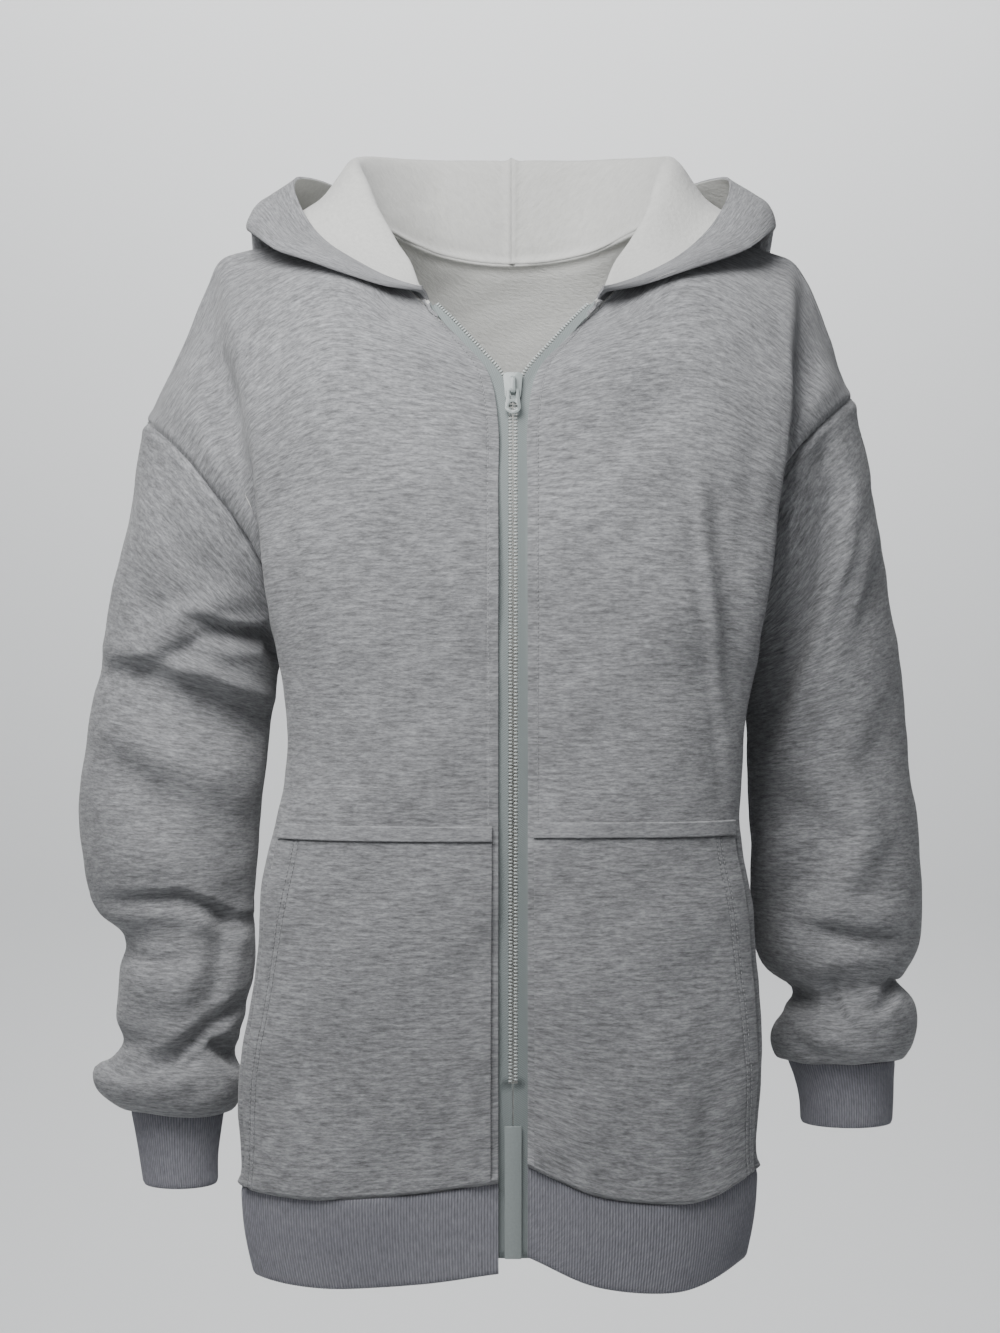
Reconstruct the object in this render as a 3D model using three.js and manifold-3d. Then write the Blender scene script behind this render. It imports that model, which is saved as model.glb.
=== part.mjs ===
// Zip up hoodie, worn shape, hollow, open at neck, hem and cuffs.
// Millimetres, +Z up, front at -Y, left and right as seen from the front: left at -X.
// The origin is the middle of the neck at shoulder height.
import * as THREE from 'three';
import Module from 'manifold-3d';
import { mergeVertices } from 'three/addons/utils/BufferGeometryUtils.js';

// Cloth and seams
const FLEECE = 2;
const RIB_CLOTH = 2.2;
const TAPE_CLOTH = 0.8;
const HALF_SEAM = 0.16;
const HALF_NECK_SEAM = 0.5;
const LAYER_GAP = 0.45;

// Waistband, pockets and placket
const WAISTBAND_HEIGHT = 60;
const WAISTBAND_DRAW_IN = 0.045;
const DRAW_IN_REACH = 100;
const POCKET_TOP_Z = -400;
const POCKET_WELT = 10;
const POCKET_WELT_CLOTH = 2.6;

// Zip
const CHAIN_HALF = 2.9;
const CHAIN_GAP = 0.2;
const CHAIN_CLOTH = 2.2;
const CHAIN_DEPTH = 2.7;
const TAPE_START = 3.25;
const TAPE_WIDTH = 13;
const TAPE_UNDER = 0.02;
const TAPE_SET_BACK = 1.1;
const TAPE_TURN = 1.2;
const FRONT_EDGE = 9.6;
const ZIP_BOTTOM_Z = -676;
const TEETH_BOTTOM_Z = -560;
const PIN_TOP_Z = -588;
const PIN_WIDTH = 11.4;
const PIN_CLOTH = 2.6;
const NECK_CORNER_Z = -37;

// Slider and pull tab
const SLIDER_Z = -98.4;
const SLIDER_HEIGHT = 19;
const SLIDER_WIDTH = 13;
const SLIDER_PLATE = 1.2;
const SLIDER_CHANNEL = 1.7;
const SLIDER_TAPER = 1.2;
const SLIDER_CORNER = 2.4;
const WEDGE = { halfTop: 1.9, halfFoot: 0.4, depth: 5, inset: 0.4, overlap: 0.3 };
const BRIDGE_WIDTH = 3.2;
const BRIDGE_RISE = 3.4;
const BRIDGE_HOLE = 2.3;
const BRIDGE_LENGTH = 12;
const BRIDGE_WALL = 1.4;
const BRIDGE_SINK = 0.4;
const BRIDGE_CURVE = 4;
const PULL_THICK = 1.4;
const PULL_LENGTH = 17;
const PULL_WIDTH = 11;
const PULL_NECK = 7.6;
const PULL_WINDOW = 4.4;
const PULL_WINDOW_LENGTH = 6;
const PULL_EYE = 3;
const PULL_PLAY = 0.35;
const PULL_CLEAR = 0.4;
const PULL_ROUND = { startAngle: 190, sweep: 160, steps: 10 };
const EYE_SIDES = 12;

// Steps at which directions are taken, along the zip in mm and across a panel in its own measure
const FRAME_STEP = 2;
const PANEL_STEP = 0.01;

// Cells of the cloth
const ROWS_BELOW = 9;
const ROWS_ABOVE = 10;
const WAISTBAND_ROWS = 3;
const NECK_COLUMNS_FRONT = 5;
const NECK_COLUMNS_BACK = 7;
const SHOULDER_STOPS = [0.385, 0.463, 0.542, 0.62, 0.7, 0.775, 0.85, 0.925, 1];
const NECK_STOP = 0.385;
const SKEW_LIMIT = 0.3;

// Stations across a panel, from its centre edge to its side edge
const STATIONS = [0, 0.2, 0.385, 0.62, 0.7, 0.85, 1];

// Places of the stations: near and far as shares of the fold's X, bend and flank as shares of
// the way from the fold to the side seam, groove and cap between the fold and the armhole
const NEAR_X = 0.36;
const FAR_X = 0.72;
const FAR_DROP = 0.22;
const BEND = { x: 0.3, y: 0.34 };
const FLANK = { x: 0.75, y: 0.7 };
const GROOVE = { share: 0.3, inwards: 4, deep: 7 };
const CAP = { share: 0.68, proud: 4 };

// The meeting line of the zip halves: x is how far each half has spread from the middle
const CHAIN = [
  { z: -690, x: 0.05, y: -129 },
  { z: -630, x: 0.05, y: -129 },
  { z: -560, x: 0.05, y: -132 },
  { z: -480, x: 0.05, y: -135 },
  { z: -400, x: 0.05, y: -137 },
  { z: -334, x: 0.05, y: -137 },
  { z: -262, x: 0.05, y: -135 },
  { z: -215, x: 0.05, y: -131 },
  { z: -170, x: 0.05, y: -124.5 },
  { z: -125, x: 0.05, y: -116 },
  { z: -104, x: 0.15, y: -111.2 },
  { z: -94, x: 2.6, y: -108.6 },
  { z: -84, x: 8.5, y: -105.5 },
  { z: -64, x: 26, y: -97.5 },
  { z: -50, x: 38.5, y: -89.5 },
  { z: -37, x: 51.3, y: -80 },
];

// Torso below the armpits: front and back folds stand forward and back of the side seam
const TORSO = [
  {
    z: -630, foldL: 182, foldR: 164, frontY: -132, foldY: -92, sideL: 168,
    sideR: 155, backY: 124, backX: 163, backFoldY: 95, dip: 1,
  },
  {
    z: -560, foldL: 183, foldR: 167, frontY: -136, foldY: -95, sideL: 166,
    sideR: 157, backY: 126, backX: 163, backFoldY: 97, dip: 0.5,
  },
  {
    z: -480, foldL: 172, foldR: 162, frontY: -139, foldY: -97, sideL: 160,
    sideR: 154, backY: 128, backX: 158, backFoldY: 99, dip: 0,
  },
  {
    z: -400, foldL: 161, foldR: 153, frontY: -141, foldY: -98, sideL: 153,
    sideR: 149, backY: 130, backX: 152, backFoldY: 101, dip: 0,
  },
  {
    z: -334, foldL: 150.5, foldR: 155, frontY: -141, foldY: -97, sideL: 147,
    sideR: 148, backY: 133, backX: 149, backFoldY: 103, dip: 0,
  },
  {
    z: -295, foldL: 154, foldR: 160, frontY: -140, foldY: -96, sideL: 148,
    sideR: 150, backY: 134, backX: 151, backFoldY: 104, dip: 0,
  },
];

// How the hem seam hangs below its side seam height, by station
const HEM_DIP = {
  left: [4, -4, -9, -6, -4, -2, 0],
  right: [15, -6, -11, 5, 3, 1, 0],
  back: [0, 0, 0, 0, 0, 0, 0],
};

// Fronts above the armpits, one row for each angle round the armhole
const FRONT_YOKE = [
  {
    angle: 0, edgeZ: -262, nearX: 60, nearY: -139, nearZ: -262, farX: 118,
    farY: -133, farZ: -262, foldL: 159, foldR: 166, foldY: -96, foldZ: -268,
  },
  {
    angle: 30, edgeZ: -215, nearX: 60, nearY: -138, nearZ: -216, farX: 118,
    farY: -133, farZ: -218, foldL: 164.5, foldR: 172, foldY: -97, foldZ: -224,
  },
  {
    angle: 60, edgeZ: -170, nearX: 62, nearY: -131, nearZ: -166, farX: 122,
    farY: -125, farZ: -168, foldL: 167.5, foldR: 177, foldY: -95, foldZ: -182,
  },
  {
    angle: 90, edgeZ: -125, nearX: 64, nearY: -121, nearZ: -116, farX: 125,
    farY: -112, farZ: -114, foldL: 172, foldR: 182, foldY: -91, foldZ: -138,
  },
  {
    angle: 120, edgeZ: -84, nearX: 70, nearY: -105, nearZ: -70, farX: 127,
    farY: -92, farZ: -62, foldL: 181, foldR: 187, foldY: -79, foldZ: -94,
  },
  {
    angle: 150, edgeZ: -60, nearX: 77, nearY: -80, nearZ: -41, farX: 118,
    farY: -50, farZ: -8, foldL: 193, foldR: 191, foldY: -50, foldZ: -42,
  },
];

// Back above the armpits, in the same rows
const BACK_YOKE = [
  {
    angle: 0, edgeZ: -262, edgeY: 136, nearX: 58, nearY: 136, nearZ: -262,
    farX: 110, farY: 132, farZ: -262, foldX: 153, foldY: 106, foldZ: -268,
  },
  {
    angle: 30, edgeZ: -205, edgeY: 137, nearX: 58, nearY: 137, nearZ: -206,
    farX: 112, farY: 131, farZ: -208, foldX: 157, foldY: 110, foldZ: -222,
  },
  {
    angle: 60, edgeZ: -150, edgeY: 135, nearX: 60, nearY: 134, nearZ: -150,
    farX: 116, farY: 126, farZ: -152, foldX: 164, foldY: 107, foldZ: -178,
  },
  {
    angle: 90, edgeZ: -100, edgeY: 129, nearX: 62, nearY: 126, nearZ: -98,
    farX: 118, farY: 115, farZ: -98, foldX: 173, foldY: 100, foldZ: -132,
  },
  {
    angle: 120, edgeZ: -55, edgeY: 119, nearX: 64, nearY: 114, nearZ: -50,
    farX: 118, farY: 98, farZ: -47, foldX: 183, foldY: 87, foldZ: -84,
  },
  {
    angle: 150, edgeZ: -18, edgeY: 106, nearX: 60, nearY: 99, nearZ: -12,
    farX: 112, farY: 65, farZ: 2, foldX: 192, foldY: 60, foldZ: -36,
  },
];

// Armholes: from the armpit to the top of the sleeve seam
const ARMHOLE = {
  left: { armpit: [-152, 12, -262], top: [-257.7, 5, -113], half: 72, bowFront: 14, bowBack: 14 },
  right: { armpit: [155, 12, -258], top: [241.5, 5, -95], half: 70, bowFront: 24, bowBack: 20 },
};

// The shoulder seam between the neck and the top of the armhole
const SHOULDER = {
  left: [[-98, 22, 31], [-200, 8, 8], [-215, 7, -12], [-239, 6, -66], [-257.7, 5, -113]],
  right: [[98, 22, 31], [194, 8, 9], [210, 7, -9], [228, 6, -54], [241.5, 5, -95]],
};
const NECK_FRONT_MID = [84, -45, -9];
const NECK_BACK_MID = [56, 79, 19];
const NECK_BACK = [0, 90, 13];

// Sleeves: rings below the armhole; lift is how far the outer side stands above the inner
const SLEEVE = {
  left: [
    { z: -215, x: 216, wide: 54.5, y: 12.5, deep: 71, lift: 55 },
    { z: -250, x: 223.5, wide: 57.5, y: 12, deep: 66, lift: 36 },
    { z: -290, x: 228, wide: 61, y: 10, deep: 61, lift: 20 },
    { z: -335, x: 236, wide: 64.5, y: 10, deep: 58, lift: 9 },
    { z: -385, x: 244, wide: 63.5, y: 9, deep: 56, lift: 3 },
    { z: -425, x: 243, wide: 61, y: 8, deep: 55, lift: 0 },
    { z: -455, x: 238, wide: 54, y: 7, deep: 52, lift: -4 },
    { z: -476, x: 229.5, wide: 45.5, y: 6, deep: 46, lift: 0 },
    { z: -502, x: 231, wide: 47.5, y: 5, deep: 48, lift: 2 },
    { z: -535, x: 235, wide: 45, y: 4, deep: 45, lift: 3 },
    { z: -556, x: 235, wide: 40, y: 3, deep: 40, lift: 4 },
    { z: -572, x: 243, wide: 52.5, y: 3, deep: 50, lift: 3 },
    { z: -585, x: 243.5, wide: 51, y: 3, deep: 50, lift: 2 },
    { z: -595, x: 240, wide: 42, y: 3, deep: 42, lift: 1 },
    { z: -597, x: 237, wide: 33, y: 3, deep: 33, lift: 0 },
  ],
  right: [
    { z: -207, x: 208, wide: 46, y: 12.5, deep: 70, lift: 58 },
    { z: -245, x: 213.5, wide: 48.5, y: 12, deep: 66, lift: 34 },
    { z: -290, x: 219, wide: 54, y: 10, deep: 62, lift: 20 },
    { z: -345, x: 224, wide: 57.5, y: 10, deep: 58, lift: 9 },
    { z: -400, x: 228, wide: 60, y: 9, deep: 57, lift: 2 },
    { z: -445, x: 230.5, wide: 61, y: 8, deep: 57, lift: 0 },
    { z: -475, x: 230, wide: 58, y: 6, deep: 54, lift: -4 },
    { z: -497, x: 227, wide: 50, y: 5, deep: 48, lift: -5 },
    { z: -511, x: 233, wide: 38, y: 4, deep: 40, lift: 4 },
    { z: -525, x: 239, wide: 45, y: 3, deep: 46, lift: 4 },
    { z: -540, x: 236, wide: 51, y: 3, deep: 50, lift: 2 },
    { z: -552, x: 234, wide: 50, y: 3, deep: 49, lift: 0 },
    { z: -560, x: 233, wide: 45, y: 3, deep: 44, lift: 0 },
    { z: -562, x: 233, wide: 38, y: 3, deep: 37, lift: 0 },
  ],
};

// Cuffs: from the sleeve's last ring to the wrist
const CUFF = {
  left: [
    { z: -597, x: 237, wide: 33, y: 3, deep: 33 },
    { z: -614, x: 236.5, wide: 30, y: 2, deep: 30 },
    { z: -631, x: 236, wide: 27.5, y: 1, deep: 28 },
    { z: -650, x: 234.5, wide: 26, y: 0, deep: 27 },
  ],
  right: [
    { z: -562, x: 233, wide: 38, y: 3, deep: 37 },
    { z: -575, x: 235, wide: 35, y: 2, deep: 33 },
    { z: -590, x: 236.5, wide: 33, y: 1, deep: 31 },
    { z: -607, x: 236.5, wide: 32, y: 0, deep: 30 },
  ],
};

// Hood, lying back: sections round the neck from the front corner to the middle of the back.
// The cloth rises from the neck seam to its fold, runs down to the bag and comes up to the rim.
const HOOD_CENTRE_Y = 15;
const HOOD_STATIONS = [0, 0.16, 0.38, 0.6, 0.8, 1];
const HOOD = [
  {
    angle: 31, foldR: 113.5, foldZ: -37, lowR: 116, lowZ: -34, bagR: 119,
    bagZ: -32.5, topR: 121.5, topZ: -31, rimR: 122.5, rimZ: -28.5,
  },
  {
    angle: 46, foldR: 99, foldZ: -9, lowR: 111, lowZ: -17, bagR: 127,
    bagZ: -25.5, topR: 129, topZ: -20, rimR: 124, rimZ: -16.5,
  },
  {
    angle: 58, foldR: 97, foldZ: 10, lowR: 121, lowZ: -2, bagR: 147,
    bagZ: -12, topR: 146, topZ: -5, rimR: 135, rimZ: -2,
  },
  {
    angle: 72, foldR: 103, foldZ: 38, lowR: 132, lowZ: 14, bagR: 171,
    bagZ: 4, topR: 166, topZ: 14, rimR: 144, rimZ: 20,
  },
  {
    angle: 81, foldR: 107, foldZ: 60, lowR: 138, lowZ: 34, bagR: 185,
    bagZ: 20.5, topR: 179, topZ: 37, rimR: 152, rimZ: 42,
  },
  {
    angle: 92, foldR: 111, foldZ: 75, lowR: 138, lowZ: 46, bagR: 182,
    bagZ: 20, topR: 184, topZ: 43, rimR: 156, rimZ: 64,
  },
  {
    angle: 104, foldR: 112, foldZ: 82, lowR: 134, lowZ: 45, bagR: 180,
    bagZ: -4, topR: 189, topZ: 24, rimR: 147, rimZ: 69,
  },
  {
    angle: 120, foldR: 107, foldZ: 86, lowR: 128, lowZ: 35, bagR: 172,
    bagZ: -46, topR: 188, topZ: -5, rimR: 140, rimZ: 67,
  },
  {
    angle: 140, foldR: 97, foldZ: 88, lowR: 117, lowZ: 18, bagR: 162,
    bagZ: -103, topR: 184, topZ: -36, rimR: 134, rimZ: 64,
  },
  {
    angle: 160, foldR: 84, foldZ: 89, lowR: 108, lowZ: 4, bagR: 150,
    bagZ: -145, topR: 176, topZ: -50, rimR: 129, rimZ: 62,
  },
  {
    angle: 180, foldR: 77, foldZ: 90, lowR: 103, lowZ: 0, bagR: 143,
    bagZ: -160, topR: 170, topZ: -55, rimR: 127, rimZ: 60,
  },
];
const HOOD_ROWS = [0, 0.055, 0.11, 0.16, 0.22, 0.3, 0.4, 0.5, 0.56, 0.6, 0.64, 0.7, 0.8, 0.9, 1];

// Colours
const FLEECE_GREY = new THREE.MeshStandardMaterial({ color: 0xa3a6a9, roughness: 0.95, metalness: 0 });
const RIB_GREY = new THREE.MeshStandardMaterial({ color: 0x9c9da8, roughness: 0.95, metalness: 0 });
const TAPE_GREY = new THREE.MeshStandardMaterial({ color: 0xb3bfbe, roughness: 0.8, metalness: 0 });
const TEETH_WHITE = new THREE.MeshStandardMaterial({ color: 0xdde2e0, roughness: 0.4, metalness: 0 });
const SLIDER_PAINT = new THREE.MeshStandardMaterial({ color: 0xb4bdbb, roughness: 0.35, metalness: 0.3 });

const WELD = 1e-4;
const DEGREE = Math.PI / 180;
const SIDES = { left: -1, right: 1 };

// Curves through stations

function tangents(stops, values) {
  const last = stops.length - 1;
  return stops.map((stop, i) => {
    const before = Math.max(i - 1, 0);
    const after = Math.min(i + 1, last);
    return (values[after] - values[before]) / (stops[after] - stops[before]);
  });
}

function through(stops, values, at, firstSlope) {
  const last = stops.length - 1;
  let i = 0;
  while (i < last - 1 && at > stops[i + 1]) {
    i += 1;
  }
  const slopes = tangents(stops, values);
  if (firstSlope !== undefined) {
    slopes[0] = firstSlope;
  }
  const span = stops[i + 1] - stops[i];
  const t = (at - stops[i]) / span;
  const t2 = t * t;
  const t3 = t2 * t;
  return (2 * t3 - 3 * t2 + 1) * values[i]
    + (t3 - 2 * t2 + t) * span * slopes[i]
    + (3 * t2 - 2 * t3) * values[i + 1]
    + (t3 - t2) * span * slopes[i + 1];
}

function pointThrough(stops, points, at, level = false) {
  return new THREE.Vector3(...['x', 'y', 'z'].map((axis) => {
    const values = points.map((point) => point[axis]);
    const firstSlope = level && axis !== 'x' ? 0 : undefined;
    return through(stops, values, at, firstSlope);
  }));
}

function column(table, key, name, at) {
  return through(table.map((row) => row[key]), table.map((row) => row[name]), at);
}

const vector = ([x, y, z]) => new THREE.Vector3(x, y, z);
const mixed = (a, b, t) => a.clone().lerp(b, t);

// Zip line

function chainPoint(side, z) {
  return new THREE.Vector3(SIDES[side] * column(CHAIN, 'z', 'x', z), column(CHAIN, 'z', 'y', z), z);
}

// Directions on the zip line: along it, outwards from the chest, and away from the other half
function chainFrame(side, z) {
  const along = chainPoint(side, z + FRAME_STEP).sub(chainPoint(side, z - FRAME_STEP)).normalize();
  const level = new THREE.Vector3(0, -1, along.y / along.z).normalize();
  const away = level.cross(along).multiplyScalar(-SIDES[side]).normalize();
  const out = along.clone().cross(away).multiplyScalar(-SIDES[side]).normalize();
  return { along, out, away };
}

function zipPoint(side, z, sideways, depth) {
  const { out, away } = chainFrame(side, z);
  return chainPoint(side, z).addScaledVector(away, sideways).addScaledVector(out, -depth);
}

// The front's edge lies this far from the zip line, proud of the tape
function frontEdge(side, z) {
  return zipPoint(side, z, FRONT_EDGE, -CHAIN_DEPTH);
}

// Armhole seam

function armholePoint(side, angle, back) {
  const { armpit, top, half, bowFront, bowBack } = ARMHOLE[side];
  const low = vector(armpit);
  const high = vector(top);
  const up = high.clone().sub(low);
  const radius = up.length() / 2;
  up.normalize();
  const towardNeck = new THREE.Vector3(-SIDES[side] * up.z, 0, SIDES[side] * up.x).normalize();
  const sine = Math.sin(angle * DEGREE);
  return low.clone().lerp(high, 0.5)
    .addScaledVector(up, -radius * Math.cos(angle * DEGREE))
    .addScaledVector(towardNeck, (back ? bowBack : bowFront) * sine * sine)
    .add(new THREE.Vector3(0, (back ? half : -half) * sine, 0));
}

// Key rows of the panels, each a list of points at the stations

function torsoRow(side, level, back) {
  const sign = SIDES[side];
  const left = side === 'left';
  const foldX = back ? level.backX : (left ? level.foldL : level.foldR);
  const foldY = back ? level.backFoldY : level.foldY;
  const middleY = back ? level.backY : level.frontY;
  const sideX = left ? level.sideL : level.sideR;
  const sideY = ARMHOLE[side].armpit[1];
  const edge = back ? new THREE.Vector3(0, middleY, level.z) : frontEdge(side, level.z);
  const near = new THREE.Vector3(sign * foldX * NEAR_X, middleY, level.z);
  const farY = middleY + (foldY - middleY) * FAR_DROP;
  const far = new THREE.Vector3(sign * foldX * FAR_X, farY, level.z);
  const fold = new THREE.Vector3(sign * foldX, foldY, level.z);
  const seam = new THREE.Vector3(sign * sideX, sideY, level.z);
  const between = (share) => new THREE.Vector3(
    sign * (foldX + (sideX - foldX) * share.x),
    foldY + (sideY - foldY) * share.y,
    level.z,
  );
  const dips = HEM_DIP[back ? 'back' : side];
  return [edge, near, far, fold, between(BEND), between(FLANK), seam].map((point, i) => {
    point.z += level.dip * dips[i];
    return point;
  });
}

function yokeRow(side, row, back) {
  const sign = SIDES[side];
  const foldX = back ? row.foldX : (side === 'left' ? row.foldL : row.foldR);
  const outward = back ? 1 : -1;
  const edge = back ? new THREE.Vector3(0, row.edgeY, row.edgeZ) : frontEdge(side, row.edgeZ);
  const near = new THREE.Vector3(sign * row.nearX, row.nearY, row.nearZ);
  const far = new THREE.Vector3(sign * row.farX, row.farY, row.farZ);
  const fold = new THREE.Vector3(sign * foldX, row.foldY, row.foldZ);
  const seam = armholePoint(side, row.angle, back);
  const groove = mixed(fold, seam, GROOVE.share);
  groove.x -= sign * GROOVE.inwards;
  groove.y -= outward * GROOVE.deep;
  const cap = mixed(fold, seam, CAP.share);
  cap.y += outward * CAP.proud;
  return [edge, near, far, fold, groove, cap, seam];
}

function topRow(side, back) {
  const sign = SIDES[side];
  const [neck, ...shoulder] = SHOULDER[side].map(vector);
  const edge = back ? vector(NECK_BACK) : frontEdge(side, NECK_CORNER_Z);
  const middle = vector(back ? NECK_BACK_MID : NECK_FRONT_MID);
  middle.x *= sign;
  return [edge, middle, neck, ...shoulder];
}

function topPoint(side, back, at) {
  const points = topRow(side, back);
  return at <= NECK_STOP
    ? pointThrough(STATIONS.slice(0, 3), points.slice(0, 3), at, back)
    : pointThrough(STATIONS.slice(2), points.slice(2), at);
}

// Heights of the key rows in the panel's own measure: 0 hem, 1 armpit, 2 shoulder
function panelRows(side, back) {
  const rows = TORSO.map((level) => ({
    at: (level.z - TORSO[0].z) / (ARMHOLE[side].armpit[2] - TORSO[0].z),
    points: torsoRow(side, level, back),
  }));
  const yoke = back ? BACK_YOKE : FRONT_YOKE;
  yoke.forEach((row) => rows.push({ at: 1 + row.angle / 180, points: yokeRow(side, row, back) }));
  return rows;
}

function makePanel(side, back) {
  const rows = panelRows(side, back);
  const heights = [...rows.map((row) => row.at), 2];
  return (across, up) => {
    const knots = rows.map((row) => pointThrough(STATIONS, row.points, across, back));
    knots.push(topPoint(side, back, across));
    const point = pointThrough(heights, knots, up);
    if (across === 1 && up >= 1) {
      return armholePoint(side, (up - 1) * 180, back);
    }
    return point;
  };
}

const panels = {
  left: { front: makePanel('left', false), back: makePanel('left', true) },
  right: { front: makePanel('right', false), back: makePanel('right', true) },
};

// Grids of outer points, row by row

const spread = (count) => Array.from({ length: count + 1 }, (_, i) => i / count);
const upStops = [
  ...spread(ROWS_BELOW).slice(0, -1),
  ...spread(ROWS_ABOVE).map((t) => 1 + t),
];
const frontStops = [
  ...spread(NECK_COLUMNS_FRONT).slice(0, -1).map((t) => t * NECK_STOP),
  ...SHOULDER_STOPS,
];
const backStops = [
  ...spread(NECK_COLUMNS_BACK).slice(0, -1).map((t) => t * NECK_STOP),
  ...SHOULDER_STOPS,
];

function gridOf(rowStops, columnStops, pointAt) {
  return rowStops.map((up) => columnStops.map((across) => pointAt(across, up)));
}

function frontGrid(side) {
  return gridOf(upStops, frontStops, panels[side].front);
}

function backGrid() {
  const columns = [...backStops.slice(1).reverse().map((t) => -t), ...backStops];
  return gridOf(upStops, columns, (across, up) => (
    across < 0 ? panels.left.back(-across, up) : panels.right.back(across, up)));
}

function armholeRing(side) {
  const ring = [];
  for (let i = 0; i < 2 * ROWS_ABOVE; i += 1) {
    const back = i > ROWS_ABOVE;
    const step = back ? 2 * ROWS_ABOVE - i : i;
    ring.push(armholePoint(side, (step * 180) / ROWS_ABOVE, back));
  }
  return ring;
}

// A ring of cloth round an arm; it starts at the inner side and runs by the front
function armRing(side, row) {
  const ring = [];
  for (let i = 0; i < 2 * ROWS_ABOVE; i += 1) {
    const angle = (i * Math.PI) / ROWS_ABOVE;
    ring.push(new THREE.Vector3(
      SIDES[side] * (row.x - row.wide * Math.cos(angle)),
      row.y - row.deep * Math.sin(angle),
      row.z - (row.lift || 0) * Math.cos(angle),
    ));
  }
  return ring;
}

function sleeveGrid(side) {
  return [armholeRing(side), ...SLEEVE[side].map((row) => armRing(side, row))];
}

function cuffGrid(side) {
  return CUFF[side].map((row) => armRing(side, row));
}

function waistbandGrid() {
  const left = frontGrid('left')[0];
  const right = frontGrid('right')[0];
  const back = backGrid()[0];
  const seam = [...left.slice(0, -1), ...back, ...right.slice(0, -1).reverse()];
  return spread(WAISTBAND_ROWS).map((t) => seam.map((point) => {
    const reach = Math.min(Math.abs(point.x) / DRAW_IN_REACH, 1);
    const drawn = 1 - WAISTBAND_DRAW_IN * t * reach;
    return new THREE.Vector3(point.x * drawn, point.y * drawn, point.z - WAISTBAND_HEIGHT * t);
  }));
}

// Neck seam points of one side, from the front corner to the middle of the back
function neckSeam(side) {
  const front = frontStops.filter((t) => t <= NECK_STOP).map((t) => topPoint(side, false, t));
  const back = backStops.filter((t) => t < NECK_STOP).reverse().map((t) => topPoint(side, true, t));
  return [...front, ...back];
}

function hoodSection(side, seam) {
  const angle = Math.atan2(Math.abs(seam.x), HOOD_CENTRE_Y - seam.y) / DEGREE;
  const at = Math.min(Math.max(angle, HOOD[0].angle), 180);
  const spoke = (name) => {
    const radius = column(HOOD, 'angle', `${name}R`, at);
    return new THREE.Vector3(
      SIDES[side] * radius * Math.sin(angle * DEGREE),
      HOOD_CENTRE_Y - radius * Math.cos(angle * DEGREE),
      column(HOOD, 'angle', `${name}Z`, at),
    );
  };
  return [seam, spoke('fold'), spoke('low'), spoke('bag'), spoke('top'), spoke('rim')];
}

function hoodGrid(side) {
  const sections = neckSeam(side).map((seam) => hoodSection(side, seam));
  return HOOD_ROWS.map((up) => sections.map((section) => pointThrough(HOOD_STATIONS, section, up)));
}

// Cloth walls

function gridNormals(grid, closed, turn) {
  const rows = grid.length;
  const columns = grid[0].length;
  const normals = grid.map((row, j) => row.map((point, i) => {
    const above = grid[Math.min(j + 1, rows - 1)][i];
    const below = grid[Math.max(j - 1, 0)][i];
    const next = closed ? row[(i + 1) % columns] : row[Math.min(i + 1, columns - 1)];
    const last = closed ? row[(i + columns - 1) % columns] : row[Math.max(i - 1, 0)];
    const across = next.clone().sub(last);
    const up = above.clone().sub(below);
    const skew = across.clone().normalize().cross(up.clone().normalize()).length();
    return skew < SKEW_LIMIT ? null : across.cross(up).multiplyScalar(turn).normalize();
  }));
  return normals.map((row) => row.map((normal, i) => normal || nearestOf(row, i)));
}

// Where a cell is too skewed to give a direction, its nearest neighbour's holds
function nearestOf(row, i) {
  for (let step = 1; step < row.length; step += 1) {
    const found = row[i - step] || row[i + step];
    if (found) {
      return found;
    }
  }
  throw new Error('a row of cloth has no direction');
}

const seamDirections = new Map();
const seamKey = (point) => [point.x, point.y, point.z].map((value) => Math.round(value * 50)).join();

// Pieces that meet at a seam share its direction, so that their walls end face to face
function noteSeams(cloth) {
  cloth.grid.forEach((row, j) => row.forEach((point, i) => {
    const inner = j > 0 && j < cloth.grid.length - 1 && (cloth.closed || (i > 0 && i < row.length - 1));
    if (inner) {
      return;
    }
    const sum = seamDirections.get(seamKey(point)) || new THREE.Vector3();
    sum.add(cloth.normals[j][i]);
    seamDirections.set(seamKey(point), sum);
  }));
}

function seamNormal(point, own) {
  const shared = seamDirections.get(seamKey(point));
  return shared ? shared.clone().normalize() : own;
}

// Moves the points of a seam edge back across the cloth, square to the edge
function drawBack(layer, cloth) {
  const rows = layer.length;
  const columns = layer[0].length;
  const moved = layer.map((row) => row.map((point) => point.clone()));
  const nearColumn = (i) => {
    const held = Math.min(Math.max(i, 0), columns - 1);
    return cloth.closed ? (i + columns) % columns : held;
  };
  const nearRow = (j) => Math.min(Math.max(j, 0), rows - 1);
  const pullRow = (j, distance) => {
    for (let i = 0; i < columns; i += 1) {
      const across = layer[j][nearColumn(i + 1)].clone().sub(layer[j][nearColumn(i - 1)]);
      const way = cloth.normals[j][i].clone().cross(across).normalize();
      moved[j][i].addScaledVector(way, cloth.turn * distance);
    }
  };
  const pullColumn = (i, distance) => {
    for (let j = 0; j < rows; j += 1) {
      const up = layer[nearRow(j + 1)][i].clone().sub(layer[nearRow(j - 1)][i]);
      const way = up.cross(cloth.normals[j][i]).normalize();
      moved[j][i].addScaledVector(way, cloth.turn * distance);
    }
  };
  const { bottom = 0, top = 0, start = 0, end = 0 } = cloth.seams;
  pullRow(0, bottom);
  pullRow(rows - 1, -top);
  pullColumn(0, start);
  pullColumn(columns - 1, -end);
  return moved;
}

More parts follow.
